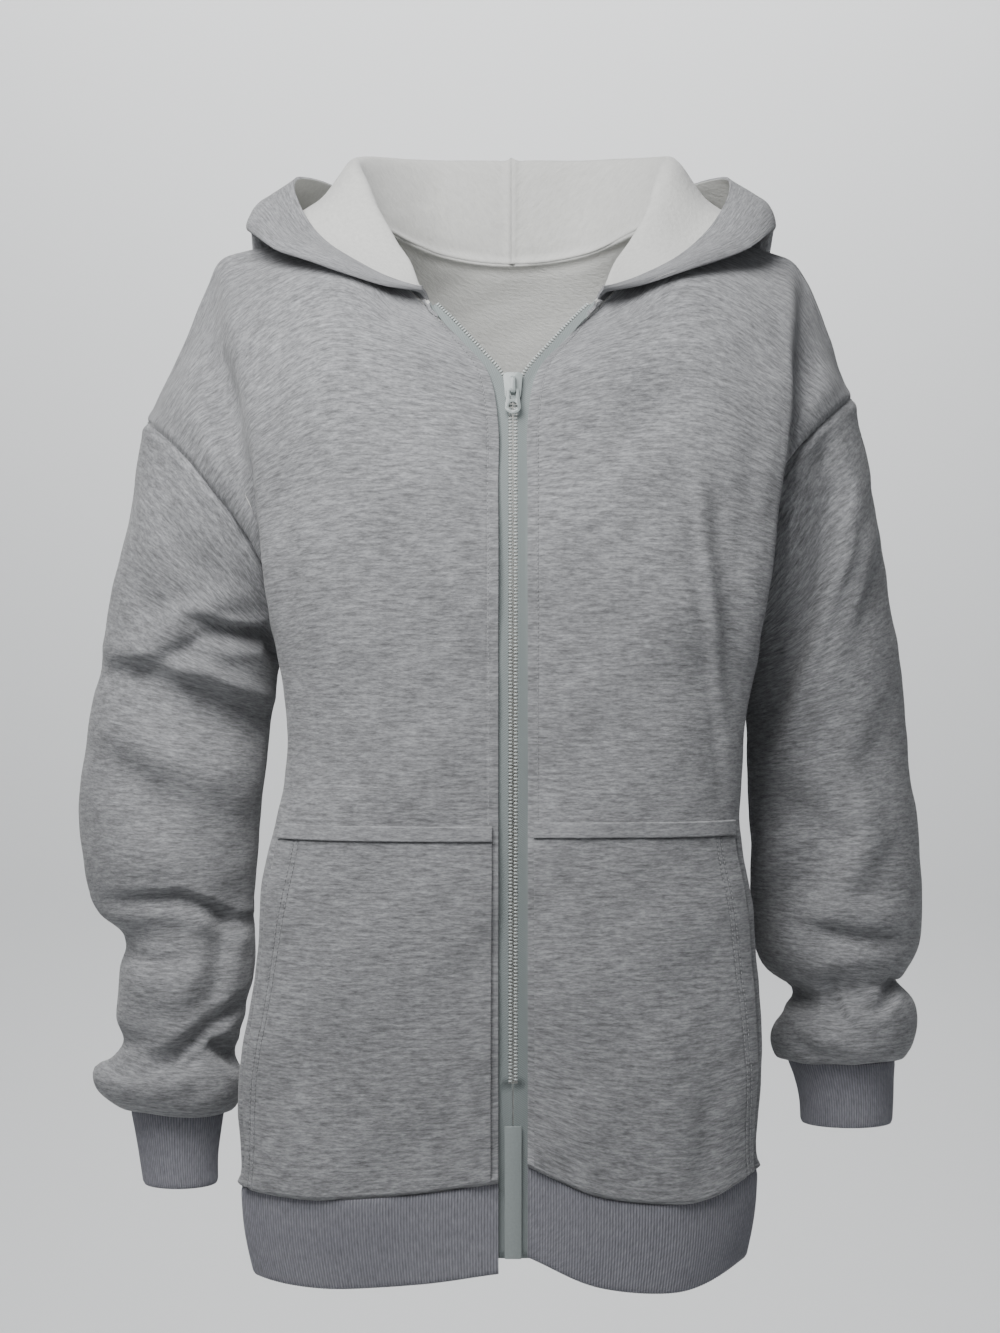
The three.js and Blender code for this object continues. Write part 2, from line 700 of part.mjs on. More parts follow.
// A closed wall between an outer and an inner grid; each cell is split along its shorter diagonal
function wallGeometry(outer, inner, closed) {
  const rows = outer.length;
  const columns = outer[0].length;
  const points = [...outer.flat(), ...inner.flat()];
  const outside = (j, i) => j * columns + (i % columns);
  const inside = (j, i) => rows * columns + outside(j, i);
  const faces = [];
  const quad = (a, b, c, d) => {
    const shorter = points[b].distanceTo(points[d]) < points[a].distanceTo(points[c]);
    faces.push(...(shorter ? [a, b, d, b, c, d] : [a, b, c, a, c, d]));
  };
  const spans = closed ? columns : columns - 1;
  for (let j = 0; j < rows - 1; j += 1) {
    for (let i = 0; i < spans; i += 1) {
      quad(outside(j, i), outside(j, i + 1), outside(j + 1, i + 1), outside(j + 1, i));
      quad(inside(j, i), inside(j + 1, i), inside(j + 1, i + 1), inside(j, i + 1));
    }
  }
  const last = rows - 1;
  const end = columns - 1;
  for (let i = 0; i < spans; i += 1) {
    quad(outside(0, i), inside(0, i), inside(0, i + 1), outside(0, i + 1));
    quad(outside(last, i), outside(last, i + 1), inside(last, i + 1), inside(last, i));
  }
  if (!closed) {
    for (let j = 0; j < last; j += 1) {
      quad(outside(j, 0), outside(j + 1, 0), inside(j + 1, 0), inside(j, 0));
      quad(outside(j, end), inside(j, end), inside(j + 1, end), outside(j + 1, end));
    }
  }
  return facingOut(points, faces);
}

function facingOut(points, faces) {
  let volume = 0;
  for (let k = 0; k < faces.length; k += 3) {
    volume += points[faces[k]].dot(points[faces[k + 1]].clone().cross(points[faces[k + 2]]));
  }
  if (volume < 0) {
    faces.reverse();
  }
  const geometry = new THREE.BufferGeometry();
  geometry.setFromPoints(points);
  geometry.setIndex(faces);
  return geometry;
}

function offsetGrid(grid, normals, distance) {
  return grid.map((row, j) => row.map((point, i) => (
    point.clone().addScaledVector(normals[j][i], distance))));
}

const PLAIN_CLOTH = { closed: false, thick: FLEECE, seams: {}, material: FLEECE_GREY };
const cloths = [];

function addCloth(name, grid, turn, make) {
  const cloth = { ...PLAIN_CLOTH, name, grid, turn, ...make };
  cloth.normals = gridNormals(grid, cloth.closed, turn);
  noteSeams(cloth);
  cloths.push(cloth);
  return cloth;
}

function clothMesh(cloth) {
  const normals = cloth.normals.map((row, j) => (
    row.map((own, i) => seamNormal(cloth.grid[j][i], own))));
  const outer = drawBack(cloth.grid, cloth);
  const inner = drawBack(offsetGrid(cloth.grid, normals, -cloth.thick), cloth);
  return meshOf(cloth.name, wallGeometry(outer, inner, cloth.closed), cloth.material);
}

function meshOf(name, geometry, material) {
  const mesh = new THREE.Mesh(geometry, material);
  mesh.name = name;
  return mesh;
}

// Cut and sewn pieces

const GARMENT_SEAMS = { bottom: HALF_SEAM, top: HALF_SEAM, end: HALF_SEAM };
Object.keys(SIDES).forEach((side) => {
  addCloth(`front_${side}`, frontGrid(side), SIDES[side], { seams: GARMENT_SEAMS });
});
addCloth('back', backGrid(), -1, { seams: { ...GARMENT_SEAMS, start: HALF_SEAM } });
Object.keys(SIDES).forEach((side) => {
  addCloth(`sleeve_${side}`, sleeveGrid(side), -SIDES[side], {
    closed: true, seams: { bottom: HALF_SEAM, top: HALF_SEAM },
  });
  addCloth(`cuff_${side}`, cuffGrid(side), -SIDES[side], {
    closed: true, thick: RIB_CLOTH, seams: { bottom: HALF_SEAM }, material: RIB_GREY,
  });
  addCloth(`hood_${side}`, hoodGrid(side), SIDES[side], {
    seams: { bottom: HALF_NECK_SEAM, end: HALF_SEAM },
  });
});
addCloth('waistband', waistbandGrid(), 1, {
  thick: RIB_CLOTH, seams: { bottom: HALF_SEAM }, material: RIB_GREY,
});

// Pockets: patches of a front's own points, moved out

function frontNormal(side, across, up) {
  const panel = panels[side].front;
  const lowUp = Math.max(up - PANEL_STEP, 0);
  const highAcross = Math.min(across + PANEL_STEP, 1);
  const sideways = panel(highAcross, up).sub(panel(highAcross - 2 * PANEL_STEP, up));
  const upwards = panel(across, lowUp + 2 * PANEL_STEP).sub(panel(across, lowUp));
  return sideways.cross(upwards).multiplyScalar(SIDES[side]).normalize();
}

const panelHeight = (side, z) => (z - TORSO[0].z) / (ARMHOLE[side].armpit[2] - TORSO[0].z);

// The pocket's mouth runs down beside the front fold, from its top edge to the hem
const POCKET_MOUTH = [
  { up: 0, across: 0.612 },
  { up: 0.14, across: 0.604 },
  { up: 0.36, across: 0.6 },
  { up: 0.65, across: 0.595 },
];
const POCKET_EDGE = 0.018;
const POCKET_HEM_GAP = 0.006;
const POCKET_WELT_GAP = 0.001;
const POCKET_ROW_MARGIN = { low: 0.02, high: 0.01 };
const POCKET_COLUMNS = { from: 0.05, to: 0.56 };

function pocketLayer(side, lowUp, highUp, lift) {
  const { low, high } = POCKET_ROW_MARGIN;
  const { from, to } = POCKET_COLUMNS;
  const rows = [lowUp, ...upStops.filter((up) => up > lowUp + low && up < highUp - high), highUp];
  const columns = [POCKET_EDGE, ...frontStops.filter((across) => across > from && across < to)];
  return rows.map((up) => [...columns, column(POCKET_MOUTH, 'up', 'across', up)].map((across) => (
    panels[side].front(across, up).addScaledVector(frontNormal(side, across, up), lift))));
}

function layerMesh(name, side, lowUp, highUp, thick) {
  const inner = pocketLayer(side, lowUp, highUp, LAYER_GAP);
  const outer = pocketLayer(side, lowUp, highUp, LAYER_GAP + thick);
  return meshOf(name, wallGeometry(outer, inner, false), FLEECE_GREY);
}

function pocketMeshes(side) {
  const topUp = panelHeight(side, POCKET_TOP_Z);
  const weltUp = panelHeight(side, POCKET_TOP_Z + POCKET_WELT);
  return [
    layerMesh(`pocket_${side}`, side, POCKET_HEM_GAP, topUp - POCKET_WELT_GAP, FLEECE),
    layerMesh(`pocket_welt_${side}`, side, topUp, weltUp, POCKET_WELT_CLOTH),
  ];
}

// Zip

const ZIP_STEP = 32;
const CURVE_STEP = 6;
const ZIP_BEND_Z = -112;

function zipStops(lowZ, highZ) {
  const straightEnd = Math.min(ZIP_BEND_Z, highZ);
  const straight = Math.max(Math.ceil((straightEnd - lowZ) / ZIP_STEP), 1);
  const stops = spread(straight).map((t) => lowZ + (straightEnd - lowZ) * t);
  if (highZ > ZIP_BEND_Z) {
    const bend = highZ - ZIP_BEND_Z;
    const curved = Math.ceil(bend / CURVE_STEP);
    spread(curved).slice(1).forEach((t) => stops.push(ZIP_BEND_Z + bend * t));
  }
  return stops;
}

function teethMesh(side) {
  const layer = (depth) => zipStops(TEETH_BOTTOM_Z, NECK_CORNER_Z - 1).map((z) => (
    [CHAIN_GAP, CHAIN_HALF].map((sideways) => zipPoint(side, z, sideways, depth))));
  const wall = wallGeometry(layer(-CHAIN_CLOTH / 2), layer(CHAIN_CLOTH / 2), false);
  return meshOf(`zip_teeth_${side}`, wall, TEETH_WHITE);
}

// Height on the panel of a point of its centre edge
function edgeHeight(side, z) {
  const rows = panelRows(side, false);
  const heights = [...rows.map((row) => row.at), 2];
  const edges = [...rows.map((row) => row.points[0].z), topRow(side, false)[0].z];
  return through(edges, heights, z);
}

// The tape runs from the teeth to behind the front's edge, where it is sewn
function tapeMesh(side) {
  const half = TAPE_CLOTH / 2;
  const behind = (z) => {
    const up = Math.max(edgeHeight(side, frontEdge(side, z).z), 0);
    const normal = frontNormal(side, TAPE_UNDER, up);
    return panels[side].front(TAPE_UNDER, up).addScaledVector(normal, -FLEECE - TAPE_SET_BACK - half);
  };
  const below = (z) => zipPoint(side, z, TAPE_START + TAPE_WIDTH, TAPE_SET_BACK + TAPE_CLOTH);
  const stops = zipStops(ZIP_BOTTOM_Z, NECK_CORNER_Z - 1);
  const hemZ = TORSO[0].z + HEM_DIP[side][0];
  const layer = (depth) => stops.map((z) => {
    const sewn = z > hemZ ? behind(z) : below(z);
    const { out } = chainFrame(side, z);
    return [
      zipPoint(side, z, TAPE_START, depth),
      zipPoint(side, z, FRONT_EDGE - TAPE_TURN, depth + TAPE_SET_BACK),
      sewn.addScaledVector(out, -depth),
    ];
  });
  return meshOf(`zip_tape_${side}`, wallGeometry(layer(-half), layer(half), false), TAPE_GREY);
}

function zipMeshes() {
  const meshes = [];
  Object.keys(SIDES).forEach((side) => {
    meshes.push(tapeMesh(side));
    meshes.push(teethMesh(side));
  });
  const half = PIN_WIDTH / 2;
  const layer = (depth) => zipStops(ZIP_BOTTOM_Z, PIN_TOP_Z).map((z) => (
    [-half, half].map((sideways) => zipPoint('right', z, sideways, depth))));
  const face = TAPE_CLOTH / 2 + LAYER_GAP;
  const pin = wallGeometry(layer(-face - PIN_CLOTH / 2), layer(-face), false);
  meshes.push(meshOf('zip_pin', pin, TEETH_WHITE));
  return meshes;
}

// Slider and pull tab, in a frame whose +Z runs up the zip and -Y points outwards

const wasm = await Module();
wasm.setup();

function solidOf(geometry) {
  const bare = geometry.clone();
  bare.deleteAttribute('normal');
  bare.deleteAttribute('uv');
  const merged = mergeVertices(bare, WELD);
  return new wasm.Manifold(new wasm.Mesh({
    numProp: 3,
    vertProperties: new Float32Array(merged.attributes.position.array),
    triVerts: new Uint32Array(merged.index.array),
  }));
}

function geometryOf(solid) {
  const { vertProperties, triVerts } = solid.getMesh();
  const geometry = new THREE.BufferGeometry();
  geometry.setAttribute('position', new THREE.Float32BufferAttribute(vertProperties, 3));
  geometry.setIndex([...triVerts]);
  return geometry;
}

// An outline in X and Z, made thick from one Y to another
function plate(outline, nearY, farY, holes = []) {
  const flat = (points) => points.map(([x, z]) => new THREE.Vector2(x, z));
  const shape = new THREE.Shape(flat(outline));
  holes.forEach((hole) => shape.holes.push(new THREE.Path(flat(hole))));
  const geometry = new THREE.ExtrudeGeometry(shape, { depth: farY - nearY, bevelEnabled: false });
  geometry.rotateX(Math.PI / 2);
  geometry.translate(0, farY, 0);
  return geometry;
}

function roundOutline(halfTop, halfBottom, topZ, bottomZ, corner) {
  const outline = [];
  const corners = [
    [halfTop - corner, topZ - corner, 0],
    [-halfTop + corner, topZ - corner, 90],
    [-halfBottom + corner, bottomZ + corner, 180],
    [halfBottom - corner, bottomZ + corner, 270],
  ];
  corners.forEach(([x, z, start]) => spread(3).forEach((t) => {
    const angle = (start + 90 * t) * DEGREE;
    outline.push([x + corner * Math.cos(angle), z + corner * Math.sin(angle)]);
  }));
  return outline;
}

function circleOutline(x, z, radius, sides) {
  return spread(sides).slice(0, -1).map((t) => (
    [x + radius * Math.cos(2 * Math.PI * t), z + radius * Math.sin(2 * Math.PI * t)]));
}

// The bridge that holds the pull tab, seen from the side
function bridgeOutline() {
  const foot = BRIDGE_LENGTH / 2;
  const inside = foot - BRIDGE_WALL;
  const shoulder = foot * 0.4;
  const bendStart = -BRIDGE_RISE * 0.6;
  const arch = new THREE.Shape();
  arch.moveTo(-foot, BRIDGE_SINK);
  arch.lineTo(-foot, bendStart);
  arch.quadraticCurveTo(-foot, -BRIDGE_RISE, -shoulder, -BRIDGE_RISE);
  arch.lineTo(shoulder, -BRIDGE_RISE);
  arch.quadraticCurveTo(foot, -BRIDGE_RISE, foot, bendStart);
  arch.lineTo(foot, BRIDGE_SINK);
  arch.lineTo(inside, BRIDGE_SINK);
  arch.lineTo(inside, -BRIDGE_HOLE);
  arch.lineTo(-inside, -BRIDGE_HOLE);
  arch.lineTo(-inside, BRIDGE_SINK);
  return arch;
}

function sliderGeometry() {
  const half = SLIDER_HEIGHT / 2;
  const halfWidth = SLIDER_WIDTH / 2;
  const shield = roundOutline(halfWidth, halfWidth - SLIDER_TAPER, half, -half, SLIDER_CORNER);
  const face = -SLIDER_CHANNEL - SLIDER_PLATE;
  const front = solidOf(plate(shield, face, -SLIDER_CHANNEL));
  const rear = solidOf(plate(shield, SLIDER_CHANNEL, SLIDER_CHANNEL + SLIDER_PLATE));
  const wedgeTop = half - WEDGE.inset;
  const wedgeFoot = half - WEDGE.depth;
  const wedge = [
    [-WEDGE.halfTop, wedgeTop],
    [-WEDGE.halfFoot, wedgeFoot],
    [WEDGE.halfFoot, wedgeFoot],
    [WEDGE.halfTop, wedgeTop],
  ];
  const wedgeDepth = SLIDER_CHANNEL + WEDGE.overlap;
  const neck = solidOf(plate(wedge, -wedgeDepth, wedgeDepth));
  const bridge = new THREE.ExtrudeGeometry(bridgeOutline(), {
    depth: BRIDGE_WIDTH, bevelEnabled: false, curveSegments: BRIDGE_CURVE,
  });
  // The outline's X runs up the zip and its Y runs out of the face
  bridge.applyMatrix4(new THREE.Matrix4().makeBasis(
    new THREE.Vector3(0, 0, 1), new THREE.Vector3(0, 1, 0), new THREE.Vector3(-1, 0, 0)));
  bridge.translate(BRIDGE_WIDTH / 2, face, 0);
  return geometryOf(front.add(rear).add(neck).add(solidOf(bridge)));
}

const PULL_PIVOT_Z = BRIDGE_WALL - BRIDGE_LENGTH / 2 + PULL_THICK / 2 + PULL_PLAY;
const PULL_PIVOT_Y = -SLIDER_CHANNEL - SLIDER_PLATE - PULL_CLEAR - PULL_THICK / 2;

function pullGeometry() {
  const top = PULL_PIVOT_Z + PULL_THICK / 2;
  const bottom = PULL_PIVOT_Z - PULL_LENGTH;
  const round = PULL_WIDTH / 2;
  const outline = [[PULL_NECK / 2, top], [-PULL_NECK / 2, top]];
  spread(PULL_ROUND.steps).forEach((t) => {
    const angle = (PULL_ROUND.startAngle + PULL_ROUND.sweep * t) * DEGREE;
    outline.push([round * Math.cos(angle), bottom + round + round * Math.sin(angle)]);
  });
  const half = PULL_WINDOW / 2;
  const windowTop = PULL_PIVOT_Z - PULL_THICK / 2;
  const windowFoot = windowTop - PULL_WINDOW_LENGTH;
  const window = [[-half, windowTop], [half, windowTop], [half, windowFoot], [-half, windowFoot]];
  const eye = circleOutline(0, bottom + round, PULL_EYE, EYE_SIDES);
  const near = PULL_PIVOT_Y - PULL_THICK / 2;
  return geometryOf(solidOf(plate(outline, near, near + PULL_THICK, [window, eye])));
}

function sliderGroup() {
  const group = new THREE.Group();
  const top = chainPoint('left', SLIDER_Z + SLIDER_HEIGHT / 2);
  const bottom = chainPoint('left', SLIDER_Z - SLIDER_HEIGHT / 2);
  group.position.set(0, (top.y + bottom.y) / 2, SLIDER_Z);
  group.rotation.x = Math.atan2(bottom.y - top.y, SLIDER_HEIGHT);
  group.add(meshOf('zip_slider', sliderGeometry(), SLIDER_PAINT));
  group.add(meshOf('zip_pull', pullGeometry(), SLIDER_PAINT));
  return group;
}

const hoodie = new THREE.Group();
cloths.forEach((cloth) => hoodie.add(clothMesh(cloth)));
Object.keys(SIDES).forEach((side) => pocketMeshes(side).forEach((mesh) => hoodie.add(mesh)));
zipMeshes().forEach((mesh) => hoodie.add(mesh));
hoodie.add(sliderGroup());

export default hoodie;
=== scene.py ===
"""Zip up hoodie: marl fleece, ribs, a hood lying back, patch pockets and a moulded zip.

Sizes in the tables are millimetres, +Z up, the front at -Y. The meshes are in metres.
"""
import functools
import math

import bpy
import numpy as np
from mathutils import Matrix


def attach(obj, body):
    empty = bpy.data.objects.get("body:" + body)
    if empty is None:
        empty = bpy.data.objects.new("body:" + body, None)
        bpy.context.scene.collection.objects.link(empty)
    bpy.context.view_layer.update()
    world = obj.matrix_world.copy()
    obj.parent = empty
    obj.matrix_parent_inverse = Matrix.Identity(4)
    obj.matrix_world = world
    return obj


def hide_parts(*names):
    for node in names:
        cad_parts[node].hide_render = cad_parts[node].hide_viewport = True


bl_info = {
    "name": "Zip Up Hoodie",
    "version": (1, 0, 0),
    "blender": (4, 5, 0),
    "location": "3D View > Sidebar > Hoodie",
    "description": "Builds a fleece hoodie with ribs, pockets, stitching and a moulded zip",
    "category": "Add Mesh",
}

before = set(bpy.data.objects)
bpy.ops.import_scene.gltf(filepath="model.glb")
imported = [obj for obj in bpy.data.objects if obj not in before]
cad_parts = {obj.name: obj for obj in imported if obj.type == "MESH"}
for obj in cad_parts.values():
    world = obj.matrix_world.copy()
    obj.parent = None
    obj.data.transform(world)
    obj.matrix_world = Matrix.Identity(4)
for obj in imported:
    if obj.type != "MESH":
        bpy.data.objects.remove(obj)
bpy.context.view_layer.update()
GARMENT = "garment"
MM = 0.001
SIDES = {"left": -1, "right": 1}


def table(columns, *rows):
    """A table as a dict of arrays, one for each named column; lines of points stay lists."""
    return {
        name: values if name == "line" else np.array(values, float)
        for name, values in zip(columns.split(), zip(*rows))
    }


# The cut: key rows of each panel

STATIONS = [0, 0.2, 0.385, 0.62, 0.7, 0.85, 1]
NECK_STOP = 0.385
CHAIN = table(
    "z x y",
    (-690, 0.05, -129), (-630, 0.05, -129), (-560, 0.05, -132), (-480, 0.05, -135),
    (-400, 0.05, -137), (-334, 0.05, -137), (-262, 0.05, -135), (-215, 0.05, -131),
    (-170, 0.05, -124.5), (-125, 0.05, -116), (-104, 0.15, -111.2), (-94, 2.6, -108.6),
    (-84, 8.5, -105.5), (-64, 26, -97.5), (-50, 38.5, -89.5), (-37, 51.3, -80),
)
TORSO = table(
    "z left right front fold side_left side_right back back_x back_fold dip",
    (-630, 182, 164, -132, -92, 168, 155, 124, 163, 95, 1),
    (-560, 183, 167, -136, -95, 166, 157, 126, 163, 97, 0.5),
    (-480, 172, 162, -139, -97, 160, 154, 128, 158, 99, 0),
    (-400, 161, 153, -141, -98, 153, 149, 130, 152, 101, 0),
    (-334, 150.5, 155, -141, -97, 147, 148, 133, 149, 103, 0),
    (-295, 154, 160, -140, -96, 148, 150, 134, 151, 104, 0),
)
HEM_DIP = {
    "left": [4, -4, -9, -6, -4, -2, 0],
    "right": [15, -6, -11, 5, 3, 1, 0],
    "back": [0, 0, 0, 0, 0, 0, 0],
}
FRONT_YOKE = table(
    "angle edge near_x near_y near_z far_x far_y far_z left right fold_y fold_z",
    (0, -262, 60, -139, -262, 118, -133, -262, 159, 166, -96, -268),
    (30, -215, 60, -138, -216, 118, -133, -218, 164.5, 172, -97, -224),
    (60, -170, 62, -131, -166, 122, -125, -168, 167.5, 177, -95, -182),
    (90, -125, 64, -121, -116, 125, -112, -114, 172, 182, -91, -138),
    (120, -84, 70, -105, -70, 127, -92, -62, 181, 187, -79, -94),
    (150, -60, 77, -80, -41, 118, -50, -8, 193, 191, -50, -42),
)
BACK_YOKE = table(
    "angle edge edge_y near_x near_y near_z far_x far_y far_z left right fold_y fold_z",
    (0, -262, 136, 58, 136, -262, 110, 132, -262, 153, 153, 106, -268),
    (30, -205, 137, 58, 137, -206, 112, 131, -208, 157, 157, 110, -222),
    (60, -150, 135, 60, 134, -150, 116, 126, -152, 164, 164, 107, -178),
    (90, -100, 129, 62, 126, -98, 118, 115, -98, 173, 173, 100, -132),
    (120, -55, 119, 64, 114, -50, 118, 98, -47, 183, 183, 87, -84),
    (150, -18, 106, 60, 99, -12, 112, 65, 2, 192, 192, 60, -36),
)
ARMHOLE = {
    "left": {"armpit": (-152, 12, -262), "top": (-257.7, 5, -113), "half": 72, "bow": (14, 14)},
    "right": {"armpit": (155, 12, -258), "top": (241.5, 5, -95), "half": 70, "bow": (24, 20)},
}
SHOULDER = {
    "left": [(-98, 22, 31), (-200, 8, 8), (-215, 7, -12), (-239, 6, -66), (-257.7, 5, -113)],
    "right": [(98, 22, 31), (194, 8, 9), (210, 7, -9), (228, 6, -54), (241.5, 5, -95)],
}
NECK_FRONT_MID = (84, -45, -9)
NECK_BACK_MID = (56, 79, 19)
NECK_BACK = (0, 90, 13)
SLEEVE = {
    "left": table(
        "z x wide y deep lift",
        (-215, 216, 54.5, 12.5, 71, 55), (-250, 223.5, 57.5, 12, 66, 36),
        (-290, 228, 61, 10, 61, 20), (-335, 236, 64.5, 10, 58, 9),
        (-385, 244, 63.5, 9, 56, 3), (-425, 243, 61, 8, 55, 0),
        (-455, 238, 54, 7, 52, -4), (-476, 229.5, 45.5, 6, 46, 0),
        (-502, 231, 47.5, 5, 48, 2), (-535, 235, 45, 4, 45, 3),
        (-556, 235, 40, 3, 40, 4), (-572, 243, 52.5, 3, 50, 3),
        (-585, 243.5, 51, 3, 50, 2), (-595, 240, 42, 3, 42, 1), (-597, 237, 33, 3, 33, 0),
    ),
    "right": table(
        "z x wide y deep lift",
        (-207, 208, 46, 12.5, 70, 58), (-245, 213.5, 48.5, 12, 66, 34),
        (-290, 219, 54, 10, 62, 20), (-345, 224, 57.5, 10, 58, 9),
        (-400, 228, 60, 9, 57, 2), (-445, 230.5, 61, 8, 57, 0),
        (-475, 230, 58, 6, 54, -4), (-497, 227, 50, 5, 48, -5),
        (-511, 233, 38, 4, 40, 4), (-525, 239, 45, 3, 46, 4),
        (-540, 236, 51, 3, 50, 2), (-552, 234, 50, 3, 49, 0),
        (-560, 233, 45, 3, 44, 0), (-562, 233, 38, 3, 37, 0),
    ),
}
CUFF = {
    "left": table(
        "z x wide y deep lift",
        (-597, 237, 33, 3, 33, 0), (-614, 236.5, 30, 2, 30, 0),
        (-631, 236, 27.5, 1, 28, 0), (-650, 234.5, 26, 0, 27, 0),
    ),
    "right": table(
        "z x wide y deep lift",
        (-562, 233, 38, 3, 37, 0), (-575, 235, 35, 2, 33, 0),
        (-590, 236.5, 33, 1, 31, 0), (-607, 236.5, 32, 0, 30, 0),
    ),
}
HOOD_CENTRE_Y = 15
HOOD_STATIONS = [0, 0.16, 0.38, 0.6, 0.8, 1]
HOOD = table(
    "angle fold_r fold_z low_r low_z bag_r bag_z top_r top_z rim_r rim_z",
    (31, 113.5, -37, 116, -34, 119, -32.5, 121.5, -31, 122.5, -28.5),
    (46, 99, -9, 111, -17, 127, -25.5, 129, -20, 124, -16.5),
    (58, 97, 10, 121, -2, 147, -12, 146, -5, 135, -2),
    (72, 103, 38, 132, 14, 171, 4, 166, 14, 144, 20),
    (81, 107, 60, 138, 34, 185, 20.5, 179, 37, 152, 42),
    (92, 111, 75, 138, 46, 182, 20, 184, 43, 156, 64),
    (104, 112, 82, 134, 45, 180, -4, 189, 24, 147, 69),
    (120, 107, 86, 128, 35, 172, -46, 188, -5, 140, 67),
    (140, 97, 88, 117, 18, 162, -103, 184, -36, 134, 64),
    (160, 84, 89, 108, 4, 150, -145, 176, -50, 129, 62),
    (180, 77, 90, 103, 0, 143, -160, 170, -55, 127, 60),
)
POCKET_MOUTH = table("up across", (0, 0.597), (0.14, 0.59), (0.36, 0.583), (0.65, 0.575))
POCKET_EDGE = 0.018
POCKET_LIFT = 0.35
POCKET_PUFF = 1.8
POCKET_SPAN = 262
POCKET_WIDTH = 150
POCKET_STITCHES = ((17, 4), (21, 8))
POCKET_STOPS = tuple(range(28))
POCKET_TOP = 230 / 368
POCKET_WELT = 10 / 368
FLEECE_THICKNESS = 2.0
RIB_THICKNESS = 2.2
WAISTBAND_HEIGHT = 60
WAISTBAND_DRAW_IN = 0.045

# Zip, as distances from the line where its halves meet

FRONT_EDGE = 9.6
CHAIN_DEPTH = 2.7
TOOTH_MIDDLE = 1.7
TAPE_START = 3.25
TAPE_WIDTH = 13
TAPE_SET_BACK = 1.1
TAPE_THICKNESS = 0.8
TAPE_GAP = 0.25
TURNED_EDGE = 1.2
ZIP_BOTTOM_Z = -676
TEETH_BOTTOM_Z = -560
NECK_CORNER_Z = -37


def folds(*rows):
    return table("depth width lean line", *rows)


# Creases and ridges, seen from the front or the back, as lines of points in X and Z.
# Depth is how far the cloth sinks, or stands proud where it is negative. Lean makes the side
# on the right of the line softer and the other crisper, or the other way round if negative.

